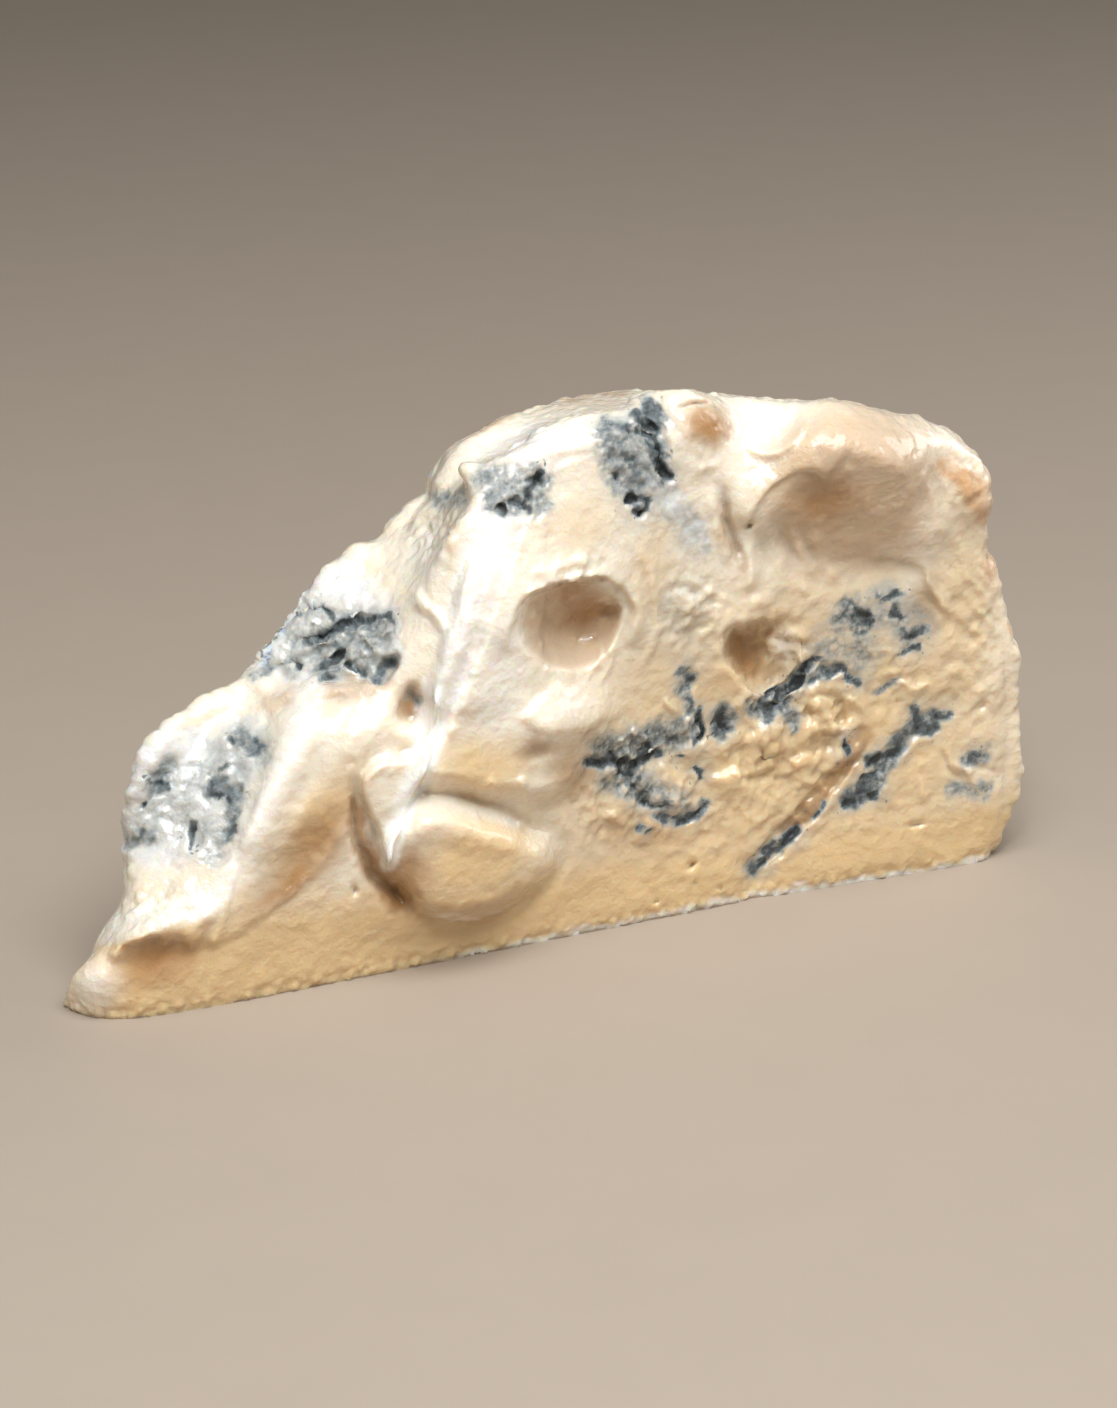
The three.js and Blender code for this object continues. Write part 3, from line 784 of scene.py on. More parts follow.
# Where the outline stands fuller than the solid, and where it is lumpy
SWELLS = (
    strand((8, 14), (10, 24), (11, 31), (14, 36.5), (19.5, 41.5), (26, 44.5), (33, 48.5), (41, 57.5),
           (48, 61), half=(4.5, 4.5), rise=(1.2, 1.7), taper=0.1),
    strand((53, 66.5), (57, 71), (61, 74.8), (68, 77.6), half=(4.5, 4.0), rise=(1.8, 1.0), taper=0.15),
    strand((45, 60.5), (50, 63.5), (54.5, 68.5), half=(4.5, 4.5), rise=(2.2, 2.2), taper=0.4),
    strand((93, 76), (110, 72.6), (122, 70), (129, 66.5), (134, 64), (137, 58), (140, 51),
           half=(5.0, 5.5), rise=(1.0, 2.2), taper=0.15),
)
LUMPY_EDGES = (
    strand((135, 65), (138, 60), (140, 54), (141.5, 46), (144.5, 37), (145.5, 30), (146.5, 20), (145.5, 12),
           (144, 4), half=(3.5, 3.5), flat=0.4, taper=0.05),
    strand((8, 16), (9.5, 24), (10.5, 31), (14, 37), (19.5, 42), (26, 45), (33, 49), (41, 58), (48, 61),
           half=(3.0, 3.0), rise=(1.1, 0.8), flat=0.4, taper=0.05),
)

# Drawn cream: an oval and the direction that its streaks run in, in degrees
STREAK_ZONES = (
    (Dent((109, 51), (8, 7), 1.0), -58.0),
    (Dent((60, 50), (6, 13), 1.0), 72.0),
    (Dent((85.5, 48), (4.5, 11), 1.0), 100.0),
    (Dent((46, 32), (10, 9), 0.8), 55.0),
    (Dent((90, 58), (5, 8), 1.0), -58.0),
    (Dent((136, 40), (9, 18), 1.1), -50.0),
    (Dent((70, 70), (13, 5), 1.0), 12.0),
    (Dent((24, 42), (8, 4), 0.8), 30.0),
)

# Brown of the front: mostly painted shade in hollows, overhangs and gaps, with a little real brown on the
# crest and in the channel
BROWN_AND_SHADE_ZONES = (
    Dent((95, 71.8), (6.5, 3.8), 0.95, turn=-25, edge=1.0),
    Dent((108, 22), (9, 6), 0.25, edge=1.0),
    Dent((75, 24), (5.5, 5.5), 0.6),
    Dent((55.5, 61), (5, 4.5), 0.2),
    Dent((14, 6.6), (9, 3.6), 0.95, edge=1.0),
    Dent((12, 3.5), (9, 4), 0.35, edge=1.0),
    wash(0.8, (0.9, 3.8), (41.8, 25), (42.6, 20), (44.8, 14.5), (49.5, 9.5)),
    Dent((50, 12.5), (6, 6.5), 0.85, edge=1.0),
    Dent((36.5, 19), (14, 7), 0.8, turn=48, edge=1.0),
    Dent((32.5, 14), (12, 5), 0.9, turn=30, edge=1.0),
    wash(0.3, (2.0, 2.0), (52, 6.4), (60, 4.8), (68, 7)),
    Dent((69, 28), (4, 2.5), 0.6),
    Dent((105, 42.5), (4.5, 2.8), 0.4),
    Dent((50.6, 37.6), (3, 3.6), 0.9),
    Dent((76.4, 47.4), (7.5, 5.5), 0.95, edge=1.0),
    Dent((74, 50.6), (7.4, 2.4), 0.8),
    Dent((112.5, 58.8), (9.5, 6), 0.9, edge=1.0),
    patch(0.75, 1.2, (97.6, 39), (98.8, 36.4), (101, 34), (103, 34.6), (103.4, 37.5), (102.4, 40.6),
          (100.4, 42), (98.6, 41.4)),
    Dent((129, 41), (4, 7), 0.4),
    wash(0.6, (1.9, 2.2), (108, 10.5), (114, 15.5), (120, 23)),
    wash(0.4, (1.4, 1.4), (97, 60), (98.4, 55), (100, 51)),
    Dent((85, 13.5), (14, 7), 0.4, edge=1.0),
    wash(0.5, (1.6, 1.6), (57.5, 74.4), (63, 77), (70, 78.6), (83, 78.8)),
    wash(0.35, (2.0, 2.0), (30, 40.4), (38, 40.6), (46, 40.4)),
)

# Waxy tan: the bulge, partly painted shade under its brow, the brown patch above it, and painted shade on the
# crater's floor and in the scooped hollow
WAX_AND_SHADE_ZONES = (
    Dent((117, 60), (18, 17), 1.0, turn=-20, edge=0.5),
    Dent((95, 71.8), (5.5, 4.0), 0.9, turn=-25),
    Dent((100.6, 38), (4, 5), 0.6, edge=0.6),
    patch(0.9, 1.6, *BOWL.path),
)

# Whiter cream, partly painted light: lit strands and crests, the tongue lip's highlight and the glow of the
# tip
WHITE_AND_LIGHT_ZONES = (
    wash(1.0, (3.6, 1.8), (54, 38), (53, 31), (50.5, 25), (48, 19), (47, 14.5)),
    wash(0.6, (3.4, 2.2), (36, 41), (34, 35), (30.4, 28), (27, 21.5), (23, 14)),
    Dent((53.5, 58), (4, 7), 0.5),
    wash(0.5, (3.0, 3.0), (6, 11), (14, 12), (21, 12.5)),
    wash(0.4, (1.1, 0.9), (51, 22.4), (55, 22.6), (60, 20.2), (66, 17.4)),
    wash(0.9, (5.0, 4.0), (62, 60), (60, 53), (58, 46), (56, 38)),
    Dent((74, 33.5), (9, 5), 0.25, edge=1.0),
    Dent((63, 40), (7, 14), 0.5),
    Dent((70, 72), (14, 5), 0.8),
    Dent((103, 71), (6, 4), 0.6),
    Dent((106.5, 38), (3.6, 4), 0.4),
    Dent((4, 3.5), (6.5, 7), 0.6, edge=1.0),
)
# Yellower paste, partly painted warm shade: the shaded tongue, the fold's shaded side and the band over the
# base
BUTTER_AND_WARM_SHADE_ZONES = (
    Dent((60, 12), (15, 11), 1.0),
    Dent((36.5, 21), (16, 7.5), 1.0, turn=52, edge=1.0),
    Dent((108, 20), (48, 36), 0.85, edge=0.6),
    Dent((135, 36), (9, 30), 0.7),
    Dent((61, 26.5), (11, 8), 0.9),
    Dent((86.5, 50), (5, 10), 0.5),
    Dent((75, 60), (9, 6), 0.35),
)

# Orange tint: painted warm shade in the hollow under the tip's lip, and the rind's own orange beside the rind
ORANGE_ZONES = (
    Dent((13, 5), (10, 5), 0.8, edge=1.0),
    wash(0.8, (2.4, 3.2), (132, 62), (135.6, 58.4), (138.6, 54.4)),
    Dent((140, 46.5), (3, 5), 0.6),
    Dent((144, 37), (2, 3.5), 0.5),
)

# Mould of the hidden back cut: millimetres along it from the tip, and up
BACK_MOULD = stains(
    # The middle patch
    (0.34, 4.5, (55, 24), (63, 27), (71, 29)),
    (0.70, 1.0, (57, 24.6), (60, 23.4)),
    (0.85, 0.9, (62.4, 27.4), (65, 29), (66.4, 28.4)),
    (0.75, 1.1, (67.4, 25), (70, 26.4), (72.6, 29.6)),
    (0.62, 0.8, (59.6, 29.2), (61.4, 30.6)),
    # The upper patch
    (0.36, 3.6, (75, 45), (81, 50)),
    (0.80, 1.0, (74.6, 43.6), (77, 46)),
    (0.90, 0.8, (79, 48), (80.6, 50.4), (83.4, 51)),
    (0.60, 0.7, (82, 54.6), (84.6, 55.6)),
    # The straight vein
    (0.32, 2.2, (90, 8), (99, 17), (108, 26)),
    (0.80, 1.0, (90.4, 8.6), (93, 11.4)),
    (0.90, 0.9, (95, 13), (98.4, 15.8)),
    (0.70, 0.7, (99.6, 18.6), (101, 19.4)),
    (0.85, 1.0, (103.4, 21.6), (106.6, 25)),
    # Flecks towards the rind
    (0.30, 4.0, (108, 46), (115, 48)),
    (0.80, 0.9, (106.8, 43.4), (109.4, 42)),
    (0.75, 1.1, (111, 47), (113.6, 49.4)),
    (0.85, 0.7, (116, 44), (118.6, 45.4)),
    (0.60, 0.8, (119, 31), (121.4, 33.6)),
    (0.70, 0.6, (124, 35), (126.6, 34.4)),
    (0.55, 1.2, (94, 58), (98.4, 60.6)),
    (0.80, 0.6, (97, 58), (99, 58.4)),
    # Towards the tip
    (0.34, 2.6, (26, 22), (33, 30)),
    (0.80, 0.8, (27, 23.6), (28.6, 26)),
    (0.70, 0.7, (31, 27), (33.6, 29.6)),
    (0.60, 0.8, (38.6, 13.4), (41.4, 15)),
    (0.75, 0.6, (44, 17), (45.6, 17.4)),
)
BACK_CURDS = (
    Dent((60, 22), (22, 16), 0.8),
    Dent((112, 32), (24, 24), 0.8),
    Dent((80, 52), (18, 10), 0.6),
)


# Skin of the wedge

def read(collection, name, width, kind=np.float32):
    """One property of all the items in a collection, as rows of a width."""
    values = np.empty(len(collection) * width, kind)
    collection.foreach_get(name, values)
    return values.reshape(-1, width)


def cut_origin():
    """The foot of the tip on the front cut, in millimetres of the frame."""
    places = read(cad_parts[NODE].data.vertices, "co", 3) / MM
    foot = places[places[:, 2] < FOOT]
    last = foot[foot[:, 0] > places[:, 0].max() - RIND_STRETCH]
    return np.array((places[:, 0].min(), last[:, 1].min(), 0.0))


def evenly_meshed(mesh, voxel):
    """A copy of a closed mesh in even squares."""
    welded = bmesh.new()
    welded.from_mesh(mesh)
    bmesh.ops.remove_doubles(welded, verts=welded.verts, dist=WELD)
    closed = bpy.data.meshes.new("closed")
    welded.to_mesh(closed)
    welded.free()
    return with_modifier(closed, "REMESH", mode="VOXEL", voxel_size=voxel)


def with_modifier(mesh, kind, group=(), **settings):
    """The mesh as a modifier leaves it. Where a group of vertices is given, it acts on those alone."""
    holder = bpy.data.objects.new("holder", mesh)
    bpy.context.scene.collection.objects.link(holder)
    modifier = holder.modifiers.new("shape", kind)
    if len(group):
        holder.vertex_groups.new(name="acted on").add(group.tolist(), 1.0, "REPLACE")
        modifier.vertex_group = "acted on"
    for name, value in settings.items():
        setattr(modifier, name, value)
    done = bpy.data.meshes.new_from_object(holder.evaluated_get(bpy.context.evaluated_depsgraph_get()))
    bpy.data.objects.remove(holder)
    bpy.data.meshes.remove(mesh)
    return done


class Skin:
    """The wedge's surface in millimetres: x from the tip along the front cut, y into the cheese, z up."""

    def __init__(self, mesh):
        self.mesh = mesh
        self.origin = cut_origin()
        self.places = read(mesh.vertices, "co", 3).astype(float) / MM - self.origin
        self.ends = read(mesh.edges, "vertices", 2, np.int32)
        self.foot = self.places[:, 2] < FOOT + FOOT_SLACK

    def store(self):
        """Writes the places back to the mesh, with the foot flat."""
        self.places[self.foot, 2] = 0.0
        self.places[:, 2] = np.maximum(self.places[:, 2], 0.0)
        flat = ((self.places + self.origin) * MM).astype(np.float32).ravel()
        self.mesh.vertices.foreach_set("co", flat)
        self.mesh.update()

    def normals(self):
        self.store()
        return read(self.mesh.vertices, "normal", 3).astype(float)

    def rise(self, spots):
        """How far each place stands out of the front cut's plane, along its line of sight."""
        on_plane = np.insert(spots, 1, 0.0, axis=1)
        return np.linalg.norm(on_plane - EYE, axis=1) - np.linalg.norm(self.places - EYE, axis=1)

    def push(self, height):
        """Moves each place towards the viewpoint."""
        sight = EYE - self.places
        self.places += sight * (height / np.linalg.norm(sight, axis=1))[:, None]

    def softened(self, rounds, strength):
        """The places after each has moved towards its neighbours' mean a number of times."""
        first, second = self.ends[:, 0], self.ends[:, 1]
        count = len(self.places)
        share = np.maximum(np.bincount(self.ends.ravel(), minlength=count), 1)
        places = self.places.copy()
        for _ in range(rounds):
            for axis in range(3):
                column = places[:, axis]
                near = np.bincount(first, column[second], count) + np.bincount(second, column[first], count)
                places[:, axis] = column + strength * (near / share - column)
        return places

    def seen(self):
        """Where each place lines up on the front cut from the viewpoint, and how squarely it faces that."""
        scale = -EYE[1] / (self.places[:, 1] - EYE[1])
        spots = np.stack([EYE[axis] + (self.places[:, axis] - EYE[axis]) * scale for axis in (0, 2)], 1)
        sight = EYE - self.places
        facing = np.einsum("ij,ij->i", self.normals(), sight) / np.linalg.norm(sight, axis=1)
        return spots, facing


def moved(places, size, seed):
    """Places scaled so that noise has lumps of a size, and shifted so that each seed has its own pattern."""
    shift = Vector((seed, 2.0 * seed, -seed))
    return [Vector(place) / size + shift for place in places]


def rough(places, size, seed, octaves=3):
    """Soft noise from about -1 to 1."""
    shifted = moved(places, size, seed)
    return np.array([noise.fractal(place, NOISE_FALL, NOISE_STEP, octaves) for place in shifted])


def lumps(places, size, seed):
    """Packed round lumps, from about -0.5 in the gaps to 0.5 on top."""
    return np.array([0.5 - noise.voronoi(place)[0][0] for place in moved(places, size, seed)])


def curds(places):
    """Packed curds of uneven outline with a crumbly surface, from about -1 to 1."""
    shifts = [CURD_WARP * rough(places, CURD_WARP_SIZE, seed, 2) for seed in CURD_WARP_SEEDS]
    warped = places + np.stack(shifts, 1)
    folded = lumps(warped, *CURD_LUMPS) + CURD_FOLD_SHARE * rough(warped, *CURD_FOLDS)
    return folded + CURD_GRAIN_SHARE * rough(places, *CURD_GRAIN)


def cracks(places, size, seed):
    """Thin crooked cracks, 1 in a crack and 0 between them."""
    return 1.0 - ease(0.0, CRACK_WIDTH, np.abs(rough(places, size, seed, 2)))


def streaks(spots, flow):
    """Long narrow ripples that run in one direction."""
    angle = math.radians(flow)
    along = spots[:, 0] * math.cos(angle) + spots[:, 1] * math.sin(angle)
    across = spots[:, 1] * math.cos(angle) - spots[:, 0] * math.sin(angle)
    level = np.full(len(spots), STREAK_SEED)
    return rough(np.stack([along / STREAK_LENGTH, across / STREAK_WIDTH, level], 1), 1.0, STREAK_SEED, 2)


def where(share, field, places, *args):
    """A noise field worked out only where its share of the skin counts, times that share."""
    used = np.flatnonzero(share > LEAST_SHARE)
    result = np.zeros(len(places))
    if used.size:
        result[used] = share[used] * field(places[used], *args)
    return result


def total(shapes, spots):
    """Height and droop of all the shapes together."""
    height = np.zeros(len(spots))
    sink = np.zeros(len(spots))
    for shape in shapes:
        own = shape.height(spots)
        height += own
        sink += own * shape.droop
    return height, sink


def strongest(shapes, spots, wider=0.0):
    """The highest of the shapes at each spot."""
    best = np.zeros(len(spots))
    for shape in shapes:
        own = shape.widened(wider) if wider else shape
        best = np.maximum(best, own.height(spots))
    return best


def ragged(spots, places, amount, size, seed):
    """Spots shifted by noise, so that what is laid out on them gets torn edges."""
    across = rough(places, size, seed, 2)
    upward = rough(places, size, seed + SEED_STEP, 2)
    return spots + amount * np.stack([across, upward], 1)


def back_spots(skin):
    """Places on the back cut: along it from the tip, and up."""
    return np.stack([np.hypot(skin.places[:, 0], skin.places[:, 1]), skin.places[:, 2]], 1)


def zones_of(skin):
    """How much each place belongs to the sides and finishes of the wedge."""
    spots, facing = skin.seen()
    normals = skin.normals()
    places = skin.places
    along, _, high = places.T
    front = ease(*FRONT_FACING, facing)
    radial = places[:, :2] / np.maximum(np.linalg.norm(places[:, :2], axis=1), 1.0)[:, None]
    outward = np.einsum("ij,ij->i", radial, normals[:, :2])
    end = ease(*END_FACING, outward) * ease(*END_FROM, along)
    back = ease(*BACK_FACING, normals[:, 1]) * (1.0 - front)
    behind = back_spots(skin)
    wobbly = ragged(spots, places, *FRONT_TEAR)
    behind_wobbly = ragged(behind, places, *BACK_TEAR)
    mould = front * strongest(FRONT_MOULD, wobbly) + back * strongest(BACK_MOULD, behind_wobbly)
    haze = front * strongest(FRONT_MOULD, spots, HAZE_REACH)
    haze += back * strongest(BACK_MOULD, behind, HAZE_REACH)
    crust = 1.0 - ease(*CRUST_TO, high + CRUST_RAGGED * rough(places, *CRUST_PATCHES))
    crust *= CRUST_WHITE * ease(*CRUST_FROM, along)
    # Whiter cream and the crust along the base, partly painted light
    white = front * np.maximum(strongest(WHITE_AND_LIGHT_ZONES, spots), crust)
    # Yellower paste, partly painted warm shade
    butter = front * np.maximum(1.0 - ease(*BUTTER_AND_WARM_SHADE_TO, wobbly[:, 1]), strongest(BUTTER_AND_WARM_SHADE_ZONES, wobbly))
    butter += back * (1.0 - ease(*BUTTER_AND_WARM_SHADE_TO, behind_wobbly[:, 1]))
    return {
        "front": front,
        "end": end,
        "crown": ease(*CROWN_FACING, normals[:, 2]) * ease(*CROWN_FROM, high) * (1.0 - front),
        "base": ease(*BASE_FACING, -normals[:, 2]),
        "torn": front * strongest(TORN_ZONES, wobbly),
        "mould": mould,
        "haze": haze,
        "curd": np.maximum(front * strongest(CURD_ZONES, spots), back * strongest(BACK_CURDS, behind)),
        # Brown: mostly painted shade in the front's hollows, with a little real brown
        "brown": front * strongest(BROWN_AND_SHADE_ZONES, wobbly),
        # Waxy tan: real on the bulge, painted shade in the bowl and the crater
        "wax": front * strongest(WAX_AND_SHADE_ZONES, spots),
        "crumb": front * strongest(CRUMB_ZONES, spots),
        "edge": strongest(LUMPY_EDGES, spots),
        # Orange: painted warm shade under the tip, real orange by the rind
        "orange": strongest(ORANGE_ZONES, wobbly) * np.maximum(front, end),
        "white": white,
        "butter": butter * (1.0 - np.maximum(mould, white)),
    }


def ironed(spots, rise):
    """The front's relief with its coarse forms smoothed away, on a grid of millimetres."""
    cells = np.clip(np.round(spots - GRID_FROM).astype(int), 0, np.array(GRID_CELLS) - 1)
    heights = np.full(GRID_CELLS, -np.inf)
    np.maximum.at(heights, (cells[:, 0], cells[:, 1]), rise)
    known = np.isfinite(heights)
    gaps = [np.subtract.outer(range(count), range(count)) for count in GRID_CELLS]
    across, upward = (np.exp(-0.5 * (gap / IRON_WIDTH) ** 2) for gap in gaps)
    return across @ np.where(known, heights, 0.0) @ upward / np.maximum(across @ known @ upward, 1e-6)


def on_grid(grid, spots):
    """The grid's values at some spots."""
    cell = np.clip(spots - GRID_FROM, 0.0, np.array(GRID_CELLS) - 1.001)
    low = cell.astype(int)
    part = cell - low
    value = np.zeros(len(spots))
    for right, up in ((0, 0), (0, 1), (1, 0), (1, 1)):
        share = np.abs(1 - right - part[:, 0]) * np.abs(1 - up - part[:, 1])
        value += share * grid[low[:, 0] + right, low[:, 1] + up]
    return value


def relief_of(spots, places):
    """Height and droop of the front's forms. Those of the paste have more ragged edges than the cream's."""
    cream, cream_sink = total(CREAM_FORMS, ragged(spots, places, *CREAM_TEAR))
    paste, paste_sink = total(PASTE_FORMS, ragged(spots, places, *PASTE_TEAR))
    return cream + paste, cream_sink + paste_sink


def iron_skin(skin):
    """Takes the coarse forms of the solid out of the middle of the front."""
    spots, facing = skin.seen()
    rise = skin.rise(spots)
    smooth = ironed(spots[facing > 0.0], rise[facing > 0.0])
    along, deep, high = skin.places.T
    level = ease(0.0, 1.0, IRONED.height(spots)) * ease(*NOT_BACK, facing) * ease(*FOOT_KEPT, high)
    level *= ease(*BACK_KEPT, along * math.sin(CUT_ANGLE) - deep * math.cos(CUT_ANGLE))
    level *= 1.0 - ease(*RIND_KEPT, np.hypot(along, deep))
    skin.push(level * (on_grid(smooth, spots) - rise))
    skin.places = skin.softened(UNFOLD_ROUNDS, SOFTEN * level)
    skin.store()


def model_skin(skin, settings):
    """Moves the even skin into the cheese's forms, large ones first."""
    softness = FOOT_SOFTNESS + (1.0 - FOOT_SOFTNESS) * ease(*SOFT_FROM, skin.places[:, 2])
    skin.places = skin.softened(settings.soften_rounds, SOFTEN * softness)
    spots, facing = skin.seen()
    shown = ease(*FORMS_FACING, facing) * ease(*FOOT_KEPT, skin.places[:, 2])
    height, sink = relief_of(spots, skin.places)
    skin.push(shown * height)
    skin.places[:, 2] -= shown * sink
    skin.places = skin.softened(*FORM_SOFTEN)

    zones = zones_of(skin)
    spots, _ = skin.seen()
    places = skin.places.copy()
    high = places[:, 2]
    front = zones["front"]
    torn = zones["torn"]
    mould = zones["mould"]
    rind = np.clip(zones["end"] + zones["crown"], 0.0, 1.0)
    curd = np.maximum(zones["curd"], TORN_CURDS * torn)
    push = settings.paste_swell * rough(places, *PASTE_SWELL, 2)
    push += where(curd, curds, places) * settings.curd_height
    push += where(front, rough, places, *FRONT_GRAIN) * FRONT_GRAIN_HEIGHT
    push += where(torn, rough, places, *TORN_GRAIN) * TORN_GRAIN_HEIGHT
    for zone, flow in STREAK_ZONES:
        push += where(front * zone.height(spots), streaks, spots, flow) * settings.streak_height
    cracked = ease(*MOULD_CRACKED, mould)
    crags = where(cracked, cracks, places, *MOULD_CRACKS)
    knobs = where(cracked, lumps, places, *MOULD_KNOBS)
    push += settings.crag_depth * (KNOB_SHARE * knobs - crags - SINK_SHARE * ease(*MOULD_SUNK, mould))
    push += where(zones["crumb"], lumps, places, *CRUMBS) * settings.crumb_height
    creases = where(np.maximum(curd, SMOOTH_CREASES * front), rough, places, *CREASES)
    push -= settings.crease_depth * np.abs(creases)
    push += where(rind, lumps, places, *RIND_LUMPS) * settings.rind_height
    push += where(rind, rough, places, *RIND_WAVES) * settings.rind_height
    swell = zones["end"] * settings.end_swell * ease(*END_SWELL_FROM, high)
    push += swell * (1.0 - ease(*END_SWELL_TO, high))
    push += where(zones["edge"], lumps, places, *EDGE_LUMPS) * settings.edge_height
    push += total(SWELLS, spots)[0]
    crust = (1.0 - ease(*CRUST_LUMPS_TO, high)) * (1.0 - zones["base"])
    push = push * ease(*DETAIL_FROM, high) + where(crust, lumps, places, *CRUST_LUMPS) * settings.crust_height
    skin.places += skin.normals() * push[:, None]
    skin.store()


def paint_skin(mesh):
    """Stores what the finish needs to know about each place as attributes of the mesh."""
    skin = Skin(mesh)
    zones = zones_of(skin)
    wide = skin.softened(HOLLOW_ROUNDS, SOFTEN)
    # How deep each place lies in a hollow; the finish paints shade there and darkens the mould in it
    zones["hollow"] = np.einsum("ij,ij->i", wide - skin.places, skin.normals()) / HOLLOW_DEPTH
    zones["rind"] = zones["end"] + zones["crown"] + zones["base"]
    for name in LAYERS:
        layer = mesh.attributes.new(name, "FLOAT", "POINT")
        layer.data.foreach_set("value", np.clip(zones[name], -1.0, 1.0).astype(np.float32))


def part_of(mesh, kept):
    """The faces of a mesh that are kept, as a mesh of their own."""
    piece = bmesh.new()
    piece.from_mesh(mesh)
    lost = [face for face, keep in zip(piece.faces, kept) if not keep]
    bmesh.ops.delete(piece, geom=lost, context="FACES")
    part = bpy.data.meshes.new("part")
    piece.to_mesh(part)
    piece.free()
    return part


def inner_vertices(mesh):
    """The vertices that aren't on an open edge."""
    sides = read(mesh.loops, "edge_index", 1, np.int32).ravel()
    open_edges = np.bincount(sides, minlength=len(mesh.edges)) == 1
    ends = read(mesh.edges, "vertices", 2, np.int32)
    on_rim = np.zeros(len(mesh.vertices), bool)
    on_rim[ends[open_edges].ravel()] = True
    return np.flatnonzero(~on_rim)


def wedge_meshes(settings):
    """The wedge's skin in two parts: what shows from the front, in fine detail, and the rest."""
    blank = Skin(evenly_meshed(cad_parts[NODE].data, settings.blank_voxel))
    iron_skin(blank)
    skin = Skin(evenly_meshed(blank.mesh, settings.voxel))
    model_skin(skin, settings)
    _, facing = skin.seen()
    corners = read(skin.mesh.loops, "vertex_index", 1, np.int32).ravel()
    starts = read(skin.mesh.polygons, "loop_start", 1, np.int32).ravel()
    shown = facing[corners[starts]] > HIDDEN_FACING
    meshes = {"cut_face": part_of(skin.mesh, shown), "rind_and_back": part_of(skin.mesh, ~shown)}
    for name, mesh in meshes.items():
        triangles = sum(len(face.vertices) - 2 for face in mesh.polygons)
        if triangles > settings.most_triangles:
            ratio = settings.most_triangles / triangles
            mesh = with_modifier(mesh, "DECIMATE", inner_vertices(mesh), ratio=ratio)
        paint_skin(mesh)
        mesh.polygons.foreach_set("use_smooth", np.ones(len(mesh.polygons), bool))
        mesh.name = name
        meshes[name] = mesh
    return meshes


# Finishes

class Value:
    """A number that varies over a surface. Arithmetic on it adds the Math nodes that work it out."""

    def __init__(self, recipe, socket):
        self.recipe = recipe
        self.socket = socket

    def math(self, operation, *values):
        sockets = dict(enumerate(values))
        return self.recipe.add("ShaderNodeMath", {"operation": operation}, sockets)

    def __add__(self, other):
        return self.math("ADD", self, other)

    def __sub__(self, other):
        return self.math("SUBTRACT", self, other)

    def __rsub__(self, other):
        return self.math("SUBTRACT", other, self)

    def __mul__(self, other):
        return self.math("MULTIPLY", self, other)

    def most(self, other):
        return self.math("MAXIMUM", self, other)

    def between(self, low, high):
        """0 below low, 1 above high and a smooth step between."""
        settings = {"interpolation_type": "SMOOTHSTEP"}
        sockets = {"Value": self, "From Min": low, "From Max": high}
        return self.recipe.add("ShaderNodeMapRange", settings, sockets)

    __radd__ = __add__
    __rmul__ = __mul__


class Recipe:
    """The nodes of one material."""

    def __init__(self, name):
        self.material = bpy.data.materials.new(name)
        self.material.use_nodes = True
        self.tree = self.material.node_tree
        self.tree.nodes.clear()

    def add(self, kind, settings=None, sockets=None, output=0):
        """Adds a node, sets it up, joins its sockets and returns one of its outputs."""
        node = self.tree.nodes.new(kind)
        for name, value in (settings or {}).items():
            setattr(node, name, value)
        for key, value in (sockets or {}).items():
            if isinstance(value, Value):
                self.tree.links.new(value.socket, node.inputs[key])
            else:
                node.inputs[key].default_value = value
        return Value(self, node.outputs[output]) if node.outputs else None

    def layer(self, name):
        """An attribute of the mesh."""
        return self.add("ShaderNodeAttribute", {"attribute_name": name}, output="Fac")

    def grain(self, place, size, detail, roughness):
        """Noise from 0 to 1 with lumps of a size in millimetres."""
        sockets = {"Vector": place, "Scale": 1.0 / (size * MM), "Detail": detail, "Roughness": roughness}
        return self.add("ShaderNodeTexNoise", {}, sockets)

    def mix(self, share, first, second):
        """A colour between two others."""
        settings = {"data_type": "RGBA", "clamp_factor": True}
        first, second = (part if isinstance(part, Value) else (*part, 1.0) for part in (first, second))
        return self.add("ShaderNodeMix", settings, {0: share, 6: first, 7: second}, output=2)

    def finish(self, shader):
        self.add("ShaderNodeOutputMaterial", sockets={"Surface": shader})
        return self.material


